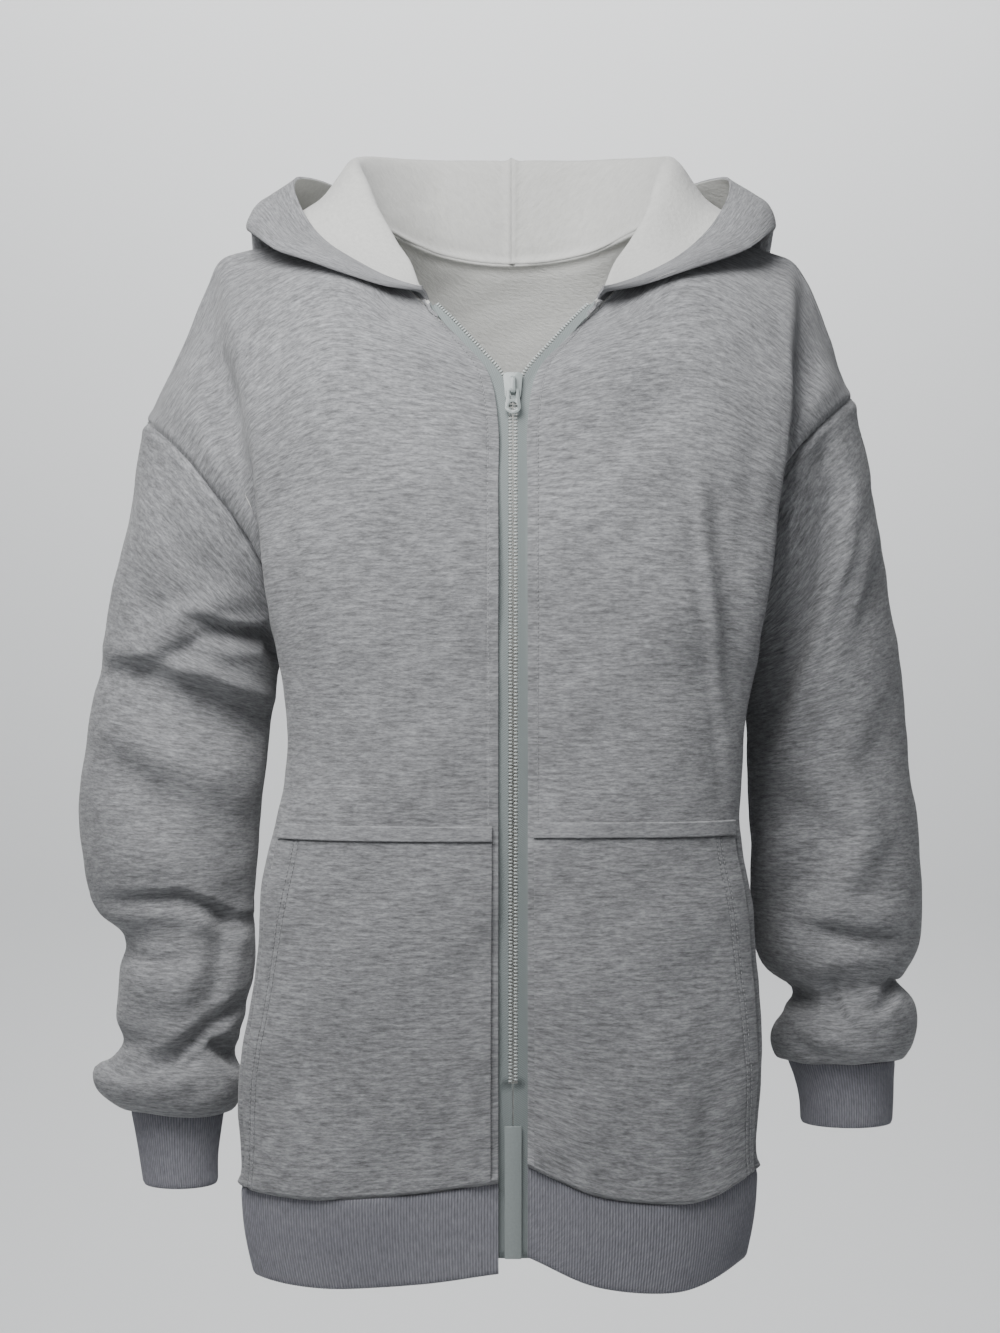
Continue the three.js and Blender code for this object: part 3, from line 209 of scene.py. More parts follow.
CREASES = {
    "front": folds(
        (8, 8, 0.35, [(-200, -82), (-187, -145), (-176, -190), (-169, -240)]),
        (-2.4, 8, 0, [(-178, -100), (-166, -165), (-160, -230), (-151, -300), (-150, -350)]),
        (-1.8, 8, 0, [(-137, -177), (-131, -223), (-135, -265), (-143, -312)]),
        (8.5, 9, -0.35, [(202, -84), (197, -130), (190, -170), (181, -220), (173, -262)]),
        (-2.4, 8, 0, [(181, -100), (171, -170), (162, -235), (154, -300), (149, -370)]),
        (-2.6, 6, -0.3, [(122, -154), (126, -213), (135, -276), (145, -366)]),
        (2.4, 8, -0.3, [(134, -170), (140, -240), (149, -320)]),
        (-1.3, 2.8, 0.2, [(41, -192), (56, -185), (70, -181)]),
        (0.9, 3, 0.3, [(44, -198), (68, -188)]),
        (1.8, 16, 0, [(-105, -112), (-70, -140), (-35, -150)]),
        (1.8, 16, 0, [(35, -142), (75, -128), (105, -100)]),
        (1.6, 14, 0.2, [(-80, -215), (-50, -250), (-38, -300)]),
        (-1.4, 12, 0, [(-95, -330), (-70, -370), (-40, -385)]),
        (1.5, 13, 0, [(30, -300), (52, -340), (62, -390)]),
        (-1.2, 9, 0, [(-156, -420), (-150, -500), (-160, -580)]),
        (1.3, 12, 0, [(-92, -450), (-74, -520), (-62, -600)]),
        (1.4, 12, 0, [(58, -450), (70, -520), (84, -600)]),
        (-1.2, 8, 0, [(-30, -540), (-24, -590), (-22, -626)]),
        (-1.4, 9, 0, [(98, -520), (106, -575), (112, -622)]),
        (1.3, 8, 0, [(-124, -570), (-116, -600), (-112, -628)]),
        (1.2, 7, 0, [(28, -580), (34, -610), (35, -628)]),
        (1.2, 7, 0, [(132, -560), (128, -600), (126, -626)]),
    ),
    "back": folds(
        (5, 12, 0.2, [(-190, -90), (-178, -160), (-160, -230)]),
        (5, 12, -0.2, [(192, -90), (182, -160), (164, -240)]),
        (3.4, 15, 0, [(-120, -190), (-92, -240), (-55, -300)]),
        (3.0, 14, 0, [(118, -180), (96, -250), (70, -310)]),
        (2.6, 16, 0.2, [(-118, -330), (-80, -390), (-35, -420)]),
        (2.8, 15, 0, [(98, -350), (60, -410), (15, -440)]),
        (-2.2, 14, 0, [(-20, -230), (0, -300), (10, -380)]),
        (-2.0, 12, 0, [(-134, -430), (-118, -520), (-110, -600)]),
        (-2.2, 12, 0, [(126, -440), (118, -520), (108, -600)]),
        (2.2, 12, 0, [(-64, -470), (-54, -540), (-50, -622)]),
        (2.2, 11, 0, [(38, -490), (48, -560), (52, -622)]),
        (-1.6, 11, 0, [(0, -530), (-4, -580), (-6, -625)]),
        (1.6, 7, 0, [(-92, -560), (-88, -600), (-86, -626)]),
        (1.5, 7, 0, [(84, -566), (88, -600), (88, -626)]),
    ),
    "left front": folds(
        (9.5, 6, 0.35, [(-214, -254), (-198, -260), (-168, -262), (-156, -290)]),
        (14, 16, 0.45, [(-272, -289), (-238, -298), (-200, -312), (-164, -328)]),
        (5, 7, 0.4, [(-286, -288), (-246, -282), (-214, -266)]),
        (-4, 9, 0, [(-196, -240), (-222, -250), (-256, -268)]),
        (-3, 12, 0, [(-270, -330), (-236, -352), (-200, -372)]),
        (2.4, 12, 0, [(-284, -352), (-256, -372), (-236, -398)]),
        (-4, 20, 0, [(-272, -400), (-252, -422), (-222, -426)]),
        (7, 5.5, 0.5, [
            (-278, -446), (-252, -443), (-229, -443), (-211, -450), (-196, -459), (-178, -466)]),
        (5, 8, 0.3, [(-196, -448), (-203, -500), (-212, -528)]),
        (-1.6, 8, 0, [(-184, -474), (-183, -505), (-188, -530)]),
        (3.2, 5, 0.4, [(-270, -484), (-248, -489), (-226, -486)]),
        (-2.6, 10, 0, [(-262, -505), (-236, -512), (-218, -500)]),
        (7, 5, -0.3, [
            (-284, -566), (-265, -568), (-240, -561), (-219, -544), (-203, -533), (-184, -520)]),
        (7, 6, 0, [(-212, -546), (-198, -556), (-188, -564)]),
        (-3, 7, 0, [(-262, -580), (-236, -574), (-212, -566)]),
        (2.2, 3.5, 0, [(-221, -547), (-223, -565), (-214, -576)]),
        (-1.6, 9, 0, [(-254, -168), (-246, -200), (-236, -236)]),
        (1.8, 9, 0, [(-238, -180), (-222, -212), (-200, -222)]),
        (1.6, 8, 0, [(-268, -215), (-258, -238), (-240, -252)]),
    ),
    "left back": folds(
        (6, 14, 0, [(-190, -250), (-215, -290), (-262, -312)]),
        (5, 13, 0, [(-185, -330), (-220, -362), (-270, -380)]),
        (-3, 13, 0, [(-196, -300), (-230, -330), (-262, -346)]),
        (6, 6, 0.4, [(-278, -448), (-240, -444), (-196, -456)]),
        (4, 8, 0, [(-206, -496), (-236, -514), (-266, -520)]),
        (6, 5, -0.3, [(-284, -562), (-240, -562), (-196, -545)]),
        (-3, 12, 0, [(-250, -400), (-236, -420), (-214, -430)]),
        (-1.8, 11, 0, [(-262, -200), (-246, -230), (-232, -262)]),
    ),
    "right front": folds(
        (11, 12, 0.4, [(214, -128), (222, -165), (217, -205), (206, -243), (192, -282), (180, -325)]),
        (-2.4, 9, 0, [(248, -140), (243, -190), (232, -250), (216, -300)]),
        (-1.8, 4, 0.2, [(250, -190), (244, -220), (237, -250)]),
        (7.5, 15, 0, [(176, -372), (198, -388), (216, -405), (200, -434), (170, -466)]),
        (-3, 10, 0, [(232, -352), (248, -402), (234, -432)]),
        (2, 12, 0, [(268, -300), (256, -340), (240, -360)]),
        (-3.6, 8, 0, [(204, -450), (232, -455), (264, -458)]),
        (5.5, 6.5, 0.5, [(203, -464), (236, -470), (270, -473)]),
        (8, 8, 0, [(184, -514), (200, -518), (214, -524)]),
        (4.5, 5, 0.3, [(223, -504), (226, -523), (239, -541)]),
        (5, 4.5, -0.2, [(244, -522), (256, -523), (263, -516), (265, -503)]),
        (-2.4, 6, 0, [(240, -504), (250, -512), (256, -508)]),
        (-2.2, 7, 0, [(206, -530), (216, -544), (232, -550)]),
        (3, 5, 0, [(196, -545), (206, -553), (222, -556)]),
        (-2.6, 8, 0, [(196, -486), (218, -492), (244, -490)]),
        (1.6, 8, 0, [(256, -150), (250, -178), (236, -196)]),
    ),
    "right back": folds(
        (6, 14, 0, [(182, -250), (206, -290), (246, -315)]),
        (5, 13, 0, [(182, -335), (214, -366), (254, -384)]),
        (-3, 12, 0, [(190, -300), (220, -330), (250, -345)]),
        (5.5, 7, 0.4, [(196, -474), (236, -478), (270, -472)]),
        (6, 7, 0, [(190, -512), (222, -518), (256, -512)]),
        (4, 6, 0, [(206, -536), (232, -546), (262, -543)]),
        (-3, 11, 0, [(212, -410), (232, -432), (254, -440)]),
        (-1.8, 11, 0, [(248, -180), (236, -220), (222, -254)]),
    ),
}
CREASE_END = 1.6
CREASE_SWELL = 0.26

# Slow waves of the cloth: direction of each wave, its length and its height

WAVES = table(
    "x y z length height phase",
    (0.8, 0.1, 0.6, 118, 0.9, 0.4), (-0.5, 0.3, 0.8, 83, 0.7, 2.1),
    (0.3, 0.9, 0.3, 97, 0.6, 4.0), (0.9, -0.4, 0.2, 57, 0.4, 1.2),
    (-0.6, 0.5, 0.6, 41, 0.28, 5.3), (0.5, 0.6, -0.6, 29, 0.16, 3.3),
    (-0.3, -0.2, 0.9, 23, 0.1, 0.9),
)

# Smooth curves through stations

def weights(stops, at, level=False):
    """Matrix that carries values at the stops to smooth values at other places."""
    stops = np.asarray(stops, float)
    at = np.atleast_1d(np.asarray(at, float))
    last = len(stops) - 1
    slopes = np.zeros((last + 1, last + 1))
    for k in range(last + 1):
        after, before = min(k + 1, last), max(k - 1, 0)
        slopes[k, after] += 1 / (stops[after] - stops[before])
        slopes[k, before] -= 1 / (stops[after] - stops[before])
    if level:
        slopes[0] = 0
    i = np.searchsorted(stops[1:last], at, side="left")
    span = stops[i + 1] - stops[i]
    t = ((at - stops[i]) / span)[:, None]
    span = span[:, None]
    pick = np.eye(last + 1)
    return ((2 * t**3 - 3 * t**2 + 1) * pick[i] + (t**3 - 2 * t**2 + t) * span * slopes[i]
            + (3 * t**2 - 2 * t**3) * pick[i + 1] + (t**3 - t**2) * span * slopes[i + 1])


def through(stops, points, at, level=False):
    """Smooth values through the first axis of points; level keeps Y and Z flat at the start."""
    points = np.asarray(points, float)
    result = np.tensordot(weights(stops, at), points, 1)
    if level:
        result[..., 1:] = np.tensordot(weights(stops, at, True), points[..., 1:], 1)
    return result


def unit(vectors):
    return vectors / np.maximum(np.linalg.norm(vectors, axis=-1, keepdims=True), 1e-9)


def smooth_step(low, high, value):
    t = np.clip((value - low) / (high - low), 0, 1)
    return t * t * (3 - 2 * t)


# Zip line and panels

def chain_point(side, z):
    z = np.atleast_1d(np.asarray(z, float))
    x, y = (through(CHAIN["z"], CHAIN[key], z) for key in "xy")
    return np.stack([SIDES[side] * x, y, z], -1)


def chain_frame(side, z):
    """Directions on the zip line: along it, outwards, and away from the other half."""
    z = np.atleast_1d(np.asarray(z, float))
    along = unit(chain_point(side, z + 2) - chain_point(side, z - 2))
    level = unit(np.stack([0 * z, -1 + 0 * z, along[:, 1] / along[:, 2]], -1))
    away = unit(np.cross(level, along) * -SIDES[side])
    return along, unit(np.cross(along, away) * -SIDES[side]), away


def zip_point(side, z, sideways, depth):
    along, out, away = chain_frame(side, z)
    return chain_point(side, z) + away * sideways - out * depth


def front_edge(side, z):
    return zip_point(side, z, FRONT_EDGE, -CHAIN_DEPTH)[0]


def armhole_point(side, angle, back):
    cut = ARMHOLE[side]
    low, high = np.array(cut["armpit"], float), np.array(cut["top"], float)
    up = high - low
    radius = np.linalg.norm(up) / 2
    up = up / (2 * radius)
    toward_neck = unit(np.array([-SIDES[side] * up[2], 0, SIDES[side] * up[0]]))
    sine, cosine = np.sin(np.radians(angle)), np.cos(np.radians(angle))
    outward = cut["half"] if back else -cut["half"]
    return ((low + high) / 2 - up * radius * cosine + toward_neck * cut["bow"][int(back)] * sine**2
            + np.array([0, outward * sine, 0]))


def torso_row(side, level, back):
    """Points of one row below the armpit, at the stations."""
    row = {key: TORSO[key][level] for key in TORSO}
    sign = SIDES[side]
    fold_x, fold_y = (row["back_x"], row["back_fold"]) if back else (row[side], row["fold"])
    middle = row["back"] if back else row["front"]
    side_x, side_y = row["side_" + side], ARMHOLE[side]["armpit"][1]
    z = row["z"]
    edge = np.array([0, middle, z]) if back else front_edge(side, z)
    points = np.array([
        edge,
        (sign * fold_x * 0.36, middle, z),
        (sign * fold_x * 0.72, middle + (fold_y - middle) * 0.22, z),
        (sign * fold_x, fold_y, z),
        (sign * (fold_x * 0.7 + side_x * 0.3), fold_y * 0.66 + side_y * 0.34, z),
        (sign * (fold_x * 0.25 + side_x * 0.75), fold_y * 0.3 + side_y * 0.7, z),
        (sign * side_x, side_y, z),
    ])
    points[:, 2] += row["dip"] * np.array(HEM_DIP["back" if back else side])
    return points


def yoke_row(side, level, back):
    """Points of one row above the armpit, ending on the armhole seam."""
    yoke = BACK_YOKE if back else FRONT_YOKE
    row = {key: yoke[key][level] for key in yoke}
    sign = SIDES[side]
    outward = 1 if back else -1
    edge = np.array([0, row["edge_y"], row["edge"]]) if back else front_edge(side, row["edge"])
    fold = np.array([sign * row[side], row["fold_y"], row["fold_z"]])
    seam = armhole_point(side, row["angle"], back)
    groove = fold * 0.7 + seam * 0.3 - np.array([sign * 4, outward * 7, 0])
    cap = fold * 0.32 + seam * 0.68 + np.array([0, outward * 4, 0])
    near = (sign * row["near_x"], row["near_y"], row["near_z"])
    far = (sign * row["far_x"], row["far_y"], row["far_z"])
    return np.array([edge, near, far, fold, groove, cap, seam])


def top_points(side, back, across):
    """Points of the neck and shoulder seams."""
    sign = SIDES[side]
    middle = np.array(NECK_BACK_MID if back else NECK_FRONT_MID, float) * (sign, 1, 1)
    edge = np.array(NECK_BACK, float) if back else front_edge(side, NECK_CORNER_Z)
    neck = np.array([edge, middle, SHOULDER[side][0]])
    return np.where(
        (across <= NECK_STOP)[:, None],
        through(STATIONS[:3], neck, across, back),
        through(STATIONS[2:], SHOULDER[side], across),
    )


@functools.cache
def panel_rows(side, back):
    count = len(TORSO["z"])
    height = ARMHOLE[side]["armpit"][2] - TORSO["z"][0]
    yoke = BACK_YOKE if back else FRONT_YOKE
    rows = [torso_row(side, k, back) for k in range(count)]
    rows += [yoke_row(side, k, back) for k in range(len(yoke["angle"]))]
    stops = [*(TORSO["z"] - TORSO["z"][0]) / height, *(1 + yoke["angle"] / 180), 2]
    return np.array(rows), stops


def panel_grid(side, back, across, up):
    """Points of a front or half back, for each height up and each place across."""
    rows, stops = panel_rows(side, back)
    across, up = np.asarray(across, float), np.asarray(up, float)
    knots = through(STATIONS, rows.transpose(1, 0, 2), across, back).transpose(1, 0, 2)
    knots = np.concatenate([knots, top_points(side, back, across)[None]])
    grid = through(stops, knots, up)
    for j in np.flatnonzero(up >= 1):
        grid[j, across == 1] = armhole_point(side, (up[j] - 1) * 180, back)
    return grid


SEAM_STOPS = (0, 1, 2, 3.2, 4.6, 6.4, 8.6)
PLACKET_STOPS = (0, 0.8, 1.8, 3.2, 4.8, 5.8, 6.5, 7, 7.5, 8, 8.5, 9.2, 10.4, 12.4)
PLACKET_STITCH = 7.5
PLACKET_SHARE = 0.385 / 105
HEM_ROLL = 3


def stops_between(start, end, length, step, near_start=SEAM_STOPS, near_end=SEAM_STOPS):
    """Places from start to end of a length in mm, close together beside a seam."""
    low = [d for d in near_start if d < length / 3]
    high = [d for d in near_end if d < length / 3]
    count = max(int(round((length - low[-1] - high[-1]) / step)), 1)
    middle = np.linspace(low[-1], length - high[-1], count + 1)
    places = [*low[:-1], *middle, *(length - np.array(high[:-1]))[::-1]]
    return start + (end - start) * np.array(places) / length


CELL = 3.2
PLAIN = (0,)
BELOW = stops_between(0, 1, 368, CELL, SEAM_STOPS, PLAIN)
ABOVE = stops_between(1, 2, 232, CELL, PLAIN, SEAM_STOPS)
UP = np.concatenate([BELOW[:-1], ABOVE])
SHOULDER_PLACES = stops_between(NECK_STOP, 1, 190, CELL, PLAIN, SEAM_STOPS)
FRONT_ACROSS = np.concatenate([
    stops_between(0, NECK_STOP, 105, CELL, PLACKET_STOPS, PLAIN)[:-1], SHOULDER_PLACES])
BACK_ACROSS = np.concatenate([np.linspace(0, NECK_STOP, 33)[:-1], SHOULDER_PLACES])
ARM_ANGLES = np.concatenate([(ABOVE - 1) * 180, 360 - (ABOVE[1:-1][::-1] - 1) * 180])


def arm_rings(side, rows, count):
    """Rings round an arm, smoothly through the rows of its table."""
    stops = np.concatenate([[0], np.cumsum(np.hypot(np.diff(rows["z"]), np.diff(rows["wide"])))])
    at = stops_between(0, stops[-1], stops[-1], count)
    return {key: through(stops, rows[key], at) for key in rows}


def ring_points(side, rings, degrees):
    turn = np.radians(degrees)[None, :]
    col = {key: rings[key][:, None] for key in rings}
    x = SIDES[side] * (col["x"] - col["wide"] * np.cos(turn))
    y = col["y"] - col["deep"] * np.sin(turn)
    z = col["z"] - col["lift"] * np.cos(turn)
    return np.stack(np.broadcast_arrays(x, y, z), -1)


def sleeve_grid(side):
    """The sleeve from its armhole seam down to the cuff."""
    keys = ring_points(side, SLEEVE[side], ARM_ANGLES)
    hole = np.array([armhole_point(side, a if a <= 180 else 360 - a, a > 180) for a in ARM_ANGLES])
    keys = np.concatenate([hole[None], keys])
    middle = keys.mean(1)
    width = np.concatenate([[SLEEVE[side]["wide"][0]], SLEEVE[side]["wide"]])
    steps = np.hypot(np.linalg.norm(np.diff(middle, axis=0), axis=1), np.diff(width))
    stops = np.concatenate([[0], np.cumsum(steps)])
    return through(stops, keys, stops_between(0, stops[-1], stops[-1], CELL))


def hood_grid(side):
    """The hood half from the neck seam over its fold, down to the bag and up to the rim."""
    front = top_points(side, False, FRONT_ACROSS[FRONT_ACROSS <= NECK_STOP])
    back = top_points(side, True, BACK_ACROSS[BACK_ACROSS < NECK_STOP])[::-1]
    seam = np.concatenate([front, back])
    angle = np.degrees(np.arctan2(np.abs(seam[:, 0]), HOOD_CENTRE_Y - seam[:, 1]))
    at = np.clip(angle, HOOD["angle"][0], 180)
    turn = np.radians(angle)
    points = [seam]
    for name in ("fold", "low", "bag", "top", "rim"):
        radius = through(HOOD["angle"], HOOD[name + "_r"], at)
        height = through(HOOD["angle"], HOOD[name + "_z"], at)
        points.append(np.stack([
            SIDES[side] * radius * np.sin(turn), HOOD_CENTRE_Y - radius * np.cos(turn), height], -1))
    return through(HOOD_STATIONS, np.array(points), stops_between(0, 1, 330, CELL))


# Relief of the cloth

def crease_depth(points, name):
    """How far the named creases push the cloth in at these points."""
    place = points[..., [0, 2]]
    total = np.zeros(place.shape[:-1])
    for depth, width, lean, line in zip(*CREASES[name].values()):
        line = np.array(line, float)
        spans = np.diff(line, axis=0)
        lengths = np.linalg.norm(spans, axis=1)
        runs = np.concatenate([[0], np.cumsum(lengths)])
        nearest = np.full(total.shape, np.inf)
        share = np.zeros(total.shape)
        for k, (start, span, length) in enumerate(zip(line, spans, lengths)):
            off = place - start
            along = (off @ span) / length
            apart = (off[..., 0] * span[1] - off[..., 1] * span[0]) / length
            before = np.maximum(-along, 0) / (CREASE_END if k == 0 else 1)
            after = np.maximum(along - length, 0) / (CREASE_END if k == len(spans) - 1 else 1)
            far = np.hypot(apart / (1 + lean * np.sign(apart)), before + after) / width
            closer = far < nearest
            nearest = np.where(closer, far, nearest)
            share = np.where(closer, (runs[k] + np.clip(along, 0, length)) / runs[-1], share)
        taper = 1 - 0.6 * np.abs(2 * share - 1)**3
        swell = CREASE_SWELL * np.exp(-((nearest - 1.8) / 0.7)**2)
        total += depth * taper * (np.exp(-nearest**2) - swell)
    return total


def waves(points, scale=1.0):
    total = np.zeros(points.shape[:-1])
    for x, y, z, length, height, phase in zip(*WAVES.values()):
        total += height * np.sin((points @ unit(np.array([x, y, z]))) * 2 * math.pi / length + phase)
    return total * scale


def two_faced(points, front, back, low, high):
    """Depth of the front folds and the back folds, blended over from low to high in Y."""
    toward_front = smooth_step(low, high, points[..., 1])
    return (crease_depth(points, front) * toward_front
            + crease_depth(points, back) * (1 - toward_front))


def body_relief(points, up, across):
    """Depth of the folds on the fronts and back, dying out at the armhole."""
    dying = smooth_step(0.80, 0.97, np.abs(across)) * smooth_step(0.93, 1.02, up)
    return two_faced(points, "front", "back", 30, -50) * (1 - dying)


def arm_relief(points, side, below):
    """Depth of the folds on a sleeve, starting below the armhole seam."""
    return two_faced(points, side + " front", side + " back", 20, -15) * smooth_step(2, 20, below)


def pocket_mouth(up):
    """How far across a front the pocket's mouth is, at places up."""
    return through(POCKET_MOUTH["up"], POCKET_MOUTH["across"], up)


def mouth_stitches(up):
    """Distances from the mouth's edge to each of its rows of stitches, in mm."""
    return [foot + (top - foot) * up / POCKET_TOP for top, foot in POCKET_STITCHES]


def mouth_puff(inset, up, low=0.0, high=POCKET_TOP):
    """Share by which a pocket opens at a distance in from its mouth's edge."""
    near = np.exp(-((inset - 8) / 18)**2)
    return near * smooth_step(0.03, 0.2, up - low) * smooth_step(high, high - 0.15, up)


def seam_relief(distance, dip=1.5, roll=0.8):
    """A seam pulls the cloth in at its line and puffs it up beside it."""
    return dip * np.exp(-(distance / 2.2)**2) - roll * np.exp(-((distance - 6) / 3.6)**2)


def groove(distance, at, depth=0.45, width=0.8):
    """A row of stitches pulls the cloth in along its line."""
    return depth * np.exp(-((distance - at) / width)**2)


# Cloth walls

def grid_normals(grid, closed, turn):
    """Outward directions of a grid of points, carried over skewed cells from their neighbours."""
    if closed:
        across = np.roll(grid, -1, 1) - np.roll(grid, 1, 1)
    else:
        across = np.gradient(grid, axis=1)
    raw = np.cross(unit(across), unit(np.gradient(grid, axis=0))) * turn
    size = np.linalg.norm(raw, axis=-1, keepdims=True)
    normals = np.where(size > 0.3, raw / np.maximum(size, 1e-9), 0)
    for _ in range(3):
        wide = np.pad(normals, ((1, 1), (1, 1), (0, 0)), mode="edge")
        if closed:
            wide[1:-1, 0], wide[1:-1, -1] = normals[:, -1], normals[:, 0]
        around = wide[:-2, 1:-1] + wide[2:, 1:-1] + wide[1:-1, :-2] + wide[1:-1, 2:]
        normals = unit(2 * normals + around)
    return normals


def measure(grid, axis):
    """Distance run along the rows or columns of a grid, from its first point."""
    steps = np.linalg.norm(np.diff(grid, axis=axis), axis=-1)
    first = np.zeros_like(np.take(steps, [0], axis=axis))
    return np.concatenate([first, np.cumsum(steps, axis=axis)], axis=axis)


class Cloth:
    """One cut piece of fleece: its outer points, their outward directions and its folds."""

    def __init__(self, name, grid, turn, closed=False, seams=""):
        self.name, self.grid, self.closed = name, grid, closed
        self.seams = seams.split()
        self.normals = grid_normals(grid, closed, turn)
        self.across = measure(grid, 1)
        self.up = measure(grid, 0)
        self.relief = np.zeros(grid.shape[:2])

    def from_edge(self, edge):
        along = {"bottom": self.up, "top": self.up[-1:] - self.up,
                 "start": self.across, "end": self.across[:, -1:] - self.across}
        return along[edge]

    def edges(self):
        yield from ((0, i) for i in range(self.grid.shape[1]))
        yield from ((-1, i) for i in range(self.grid.shape[1]))
        if not self.closed:
            yield from ((j, 0) for j in range(1, self.grid.shape[0] - 1))
            yield from ((j, -1) for j in range(1, self.grid.shape[0] - 1))

    def layers(self):
        """Outer and inner points, in millimetres."""
        relief = self.relief.copy()
        for edge in self.seams:
            relief += seam_relief(self.from_edge(edge))
        outer = self.grid - self.normals * relief[..., None]
        return outer, outer - self.normals * FLEECE_THICKNESS


def share_seams(pieces):
    """Pieces that meet at a seam take the same direction there."""
    total = {}
    key = lambda point: tuple(np.round(point * 20).astype(int))
    for piece in pieces:
        for j, i in piece.edges():
            total[key(piece.grid[j, i])] = total.get(key(piece.grid[j, i]), 0) + piece.normals[j, i]
    for piece in pieces:
        for j, i in piece.edges():
            piece.normals[j, i] = unit(total[key(piece.grid[j, i])])


@functools.cache
def fleece_pieces():
    """The fronts, back, sleeves and hood, with their folds."""
    pieces = {}
    for side, sign in SIDES.items():
        grid = panel_grid(side, False, FRONT_ACROSS, UP)
        front = Cloth("front_" + side, grid, sign, seams="bottom top end")
        front.relief = body_relief(grid, UP[:, None], FRONT_ACROSS[None])
        beside = (FRONT_ACROSS[None] - pocket_mouth(np.minimum(UP, 0.65))[:, None]) * POCKET_SPAN
        front.relief += groove(front.across, PLACKET_STITCH) - groove(front.up, HEM_ROLL, 2.2, 2.2)
        front.relief += groove(beside, 1.5, 2.2, 2.8) * (UP < POCKET_TOP)[:, None]
        pieces[front.name] = front
        grid = sleeve_grid(side)
        sleeve = Cloth("sleeve_" + side, grid, -sign, closed=True, seams="bottom top")
        sleeve.relief = arm_relief(grid, side, sleeve.up)
        pieces[sleeve.name] = sleeve
        grid = hood_grid(side)
        pieces["hood_" + side] = Cloth("hood_" + side, grid, sign, seams="bottom end")
    half = {side: panel_grid(side, True, BACK_ACROSS, UP) for side in SIDES}
    grid = np.concatenate([half["left"][:, :0:-1], half["right"]], 1)
    across = np.concatenate([-BACK_ACROSS[:0:-1], BACK_ACROSS])
    back = Cloth("back", grid, -1, seams="bottom top start end")
    back.relief = body_relief(grid, UP[:, None], across[None])
    pieces["back"] = back
    share_seams(pieces.values())
    for piece in pieces.values():
        piece.relief = piece.relief + waves(piece.grid, 0.6 if "hood" in piece.name else 1.0)
    return pieces


def on_front(side, across, up):
    """Points of a front before its folds, one for each pair of places across and up."""
    rows, stops = panel_rows(side, False)
    across, up = np.atleast_1d(across), np.atleast_1d(up)
    knots = through(STATIONS, rows.transpose(1, 0, 2), across).transpose(1, 0, 2)
    knots = np.concatenate([knots, top_points(side, False, across)[None]])
    return np.einsum("nk,knc->nc", weights(stops, up), knots)


def dressed_front(side, across, up, lift):
    """Points that lie on a front's folds, lifted off it, and their outward directions."""
    points = on_front(side, across, up)
    step = 0.01
    low = np.maximum(up - step, 0)
    right = np.minimum(across + step, 1)
    sideways = on_front(side, right, up) - on_front(side, right - 2 * step, up)
    upwards = on_front(side, across, low + 2 * step) - on_front(side, across, low)
    out = unit(np.cross(sideways, upwards) * SIDES[side])
    depth = body_relief(points, up, across) + waves(points) - lift
    return points - out * depth[:, None], out


# Meshes

def link(obj):
    bpy.context.scene.collection.objects.link(obj)
    return obj


def wall(name, outer, inner, closed=False, uv_start=(0.0, 0.0)):
    """A closed wall of cloth between two grids of points, with a map of its cut in metres."""
    rows, columns = outer.shape[:2]
    wide = columns if closed else columns - 1
    ring = np.concatenate([outer, outer[:, :1]], 1) if closed else outer
    along = measure(ring, 1)
    up = np.broadcast_to(measure(ring, 0).mean(1, keepdims=True), along.shape)
    cut = np.stack([along, up], -1) * MM + uv_start

    def quads(corners):
        return np.stack([np.stack(np.broadcast_arrays(*corner), -1) for corner in corners], 1)

    j, i = (grid.ravel() for grid in np.meshgrid(np.arange(rows - 1), np.arange(wide), indexing="ij"))
    faces = [quads([(j, i, 0), (j, i + 1, 0), (j + 1, i + 1, 0), (j + 1, i, 0)]),
             quads([(j, i, 1), (j + 1, i, 1), (j + 1, i + 1, 1), (j, i + 1, 1)])]
    i = np.arange(wide)
    last = rows - 1
    rims = [quads([(0, i, 0), (0, i, 1), (0, i + 1, 1), (0, i + 1, 0)]),
            quads([(last, i, 0), (last, i + 1, 0), (last, i + 1, 1), (last, i, 1)])]
    if not closed:
        j = np.arange(rows - 1)
        end = columns - 1
        rims += [quads([(j, 0, 0), (j + 1, 0, 0), (j + 1, 0, 1), (j, 0, 1)]),
                 quads([(j, end, 0), (j, end, 1), (j + 1, end, 1), (j + 1, end, 0)])]
    plain = sum(len(group) for group in faces)
    faces = np.concatenate(faces + rims)
    points = np.concatenate([outer.reshape(-1, 3), inner.reshape(-1, 3)]) * MM
    index = faces[..., 2] * rows * columns + faces[..., 0] * columns + faces[..., 1] % columns
    corner = points[index]
    volume = np.einsum("nc,nc->", corner[:, 0], np.cross(corner[:, 1], corner[:, 2]))
    volume += np.einsum("nc,nc->", corner[:, 0], np.cross(corner[:, 2], corner[:, 3]))
    if volume < 0:
        faces, index = faces[:, ::-1], index[:, ::-1]
    mesh = bpy.data.meshes.new(name)
    mesh.from_pydata(points.tolist(), [], index.tolist())
    layer = mesh.uv_layers.new(name="cut")
    layer.data.foreach_set("uv", cut[faces[..., 0], faces[..., 1]].astype(np.float32).ravel())
    inside = (faces[..., 2] == 1).all(1)
    mesh.polygons.foreach_set("material_index", inside.astype(np.int32))
    mesh.polygons.foreach_set("use_smooth", np.arange(len(faces)) < plain)
    mesh.update()
    return link(bpy.data.objects.new(name, mesh))


def dress(obj, slot, *materials):
    """Gives a piece its finishes and joins it to the garment."""
    for material in materials:
        obj.data.materials.append(material)
    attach(obj, GARMENT)


def sew(obj, node, slot, *materials):
    """A cut piece that stands for its solid."""
    dress(obj, slot, *materials)
    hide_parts(node)


# Finishes

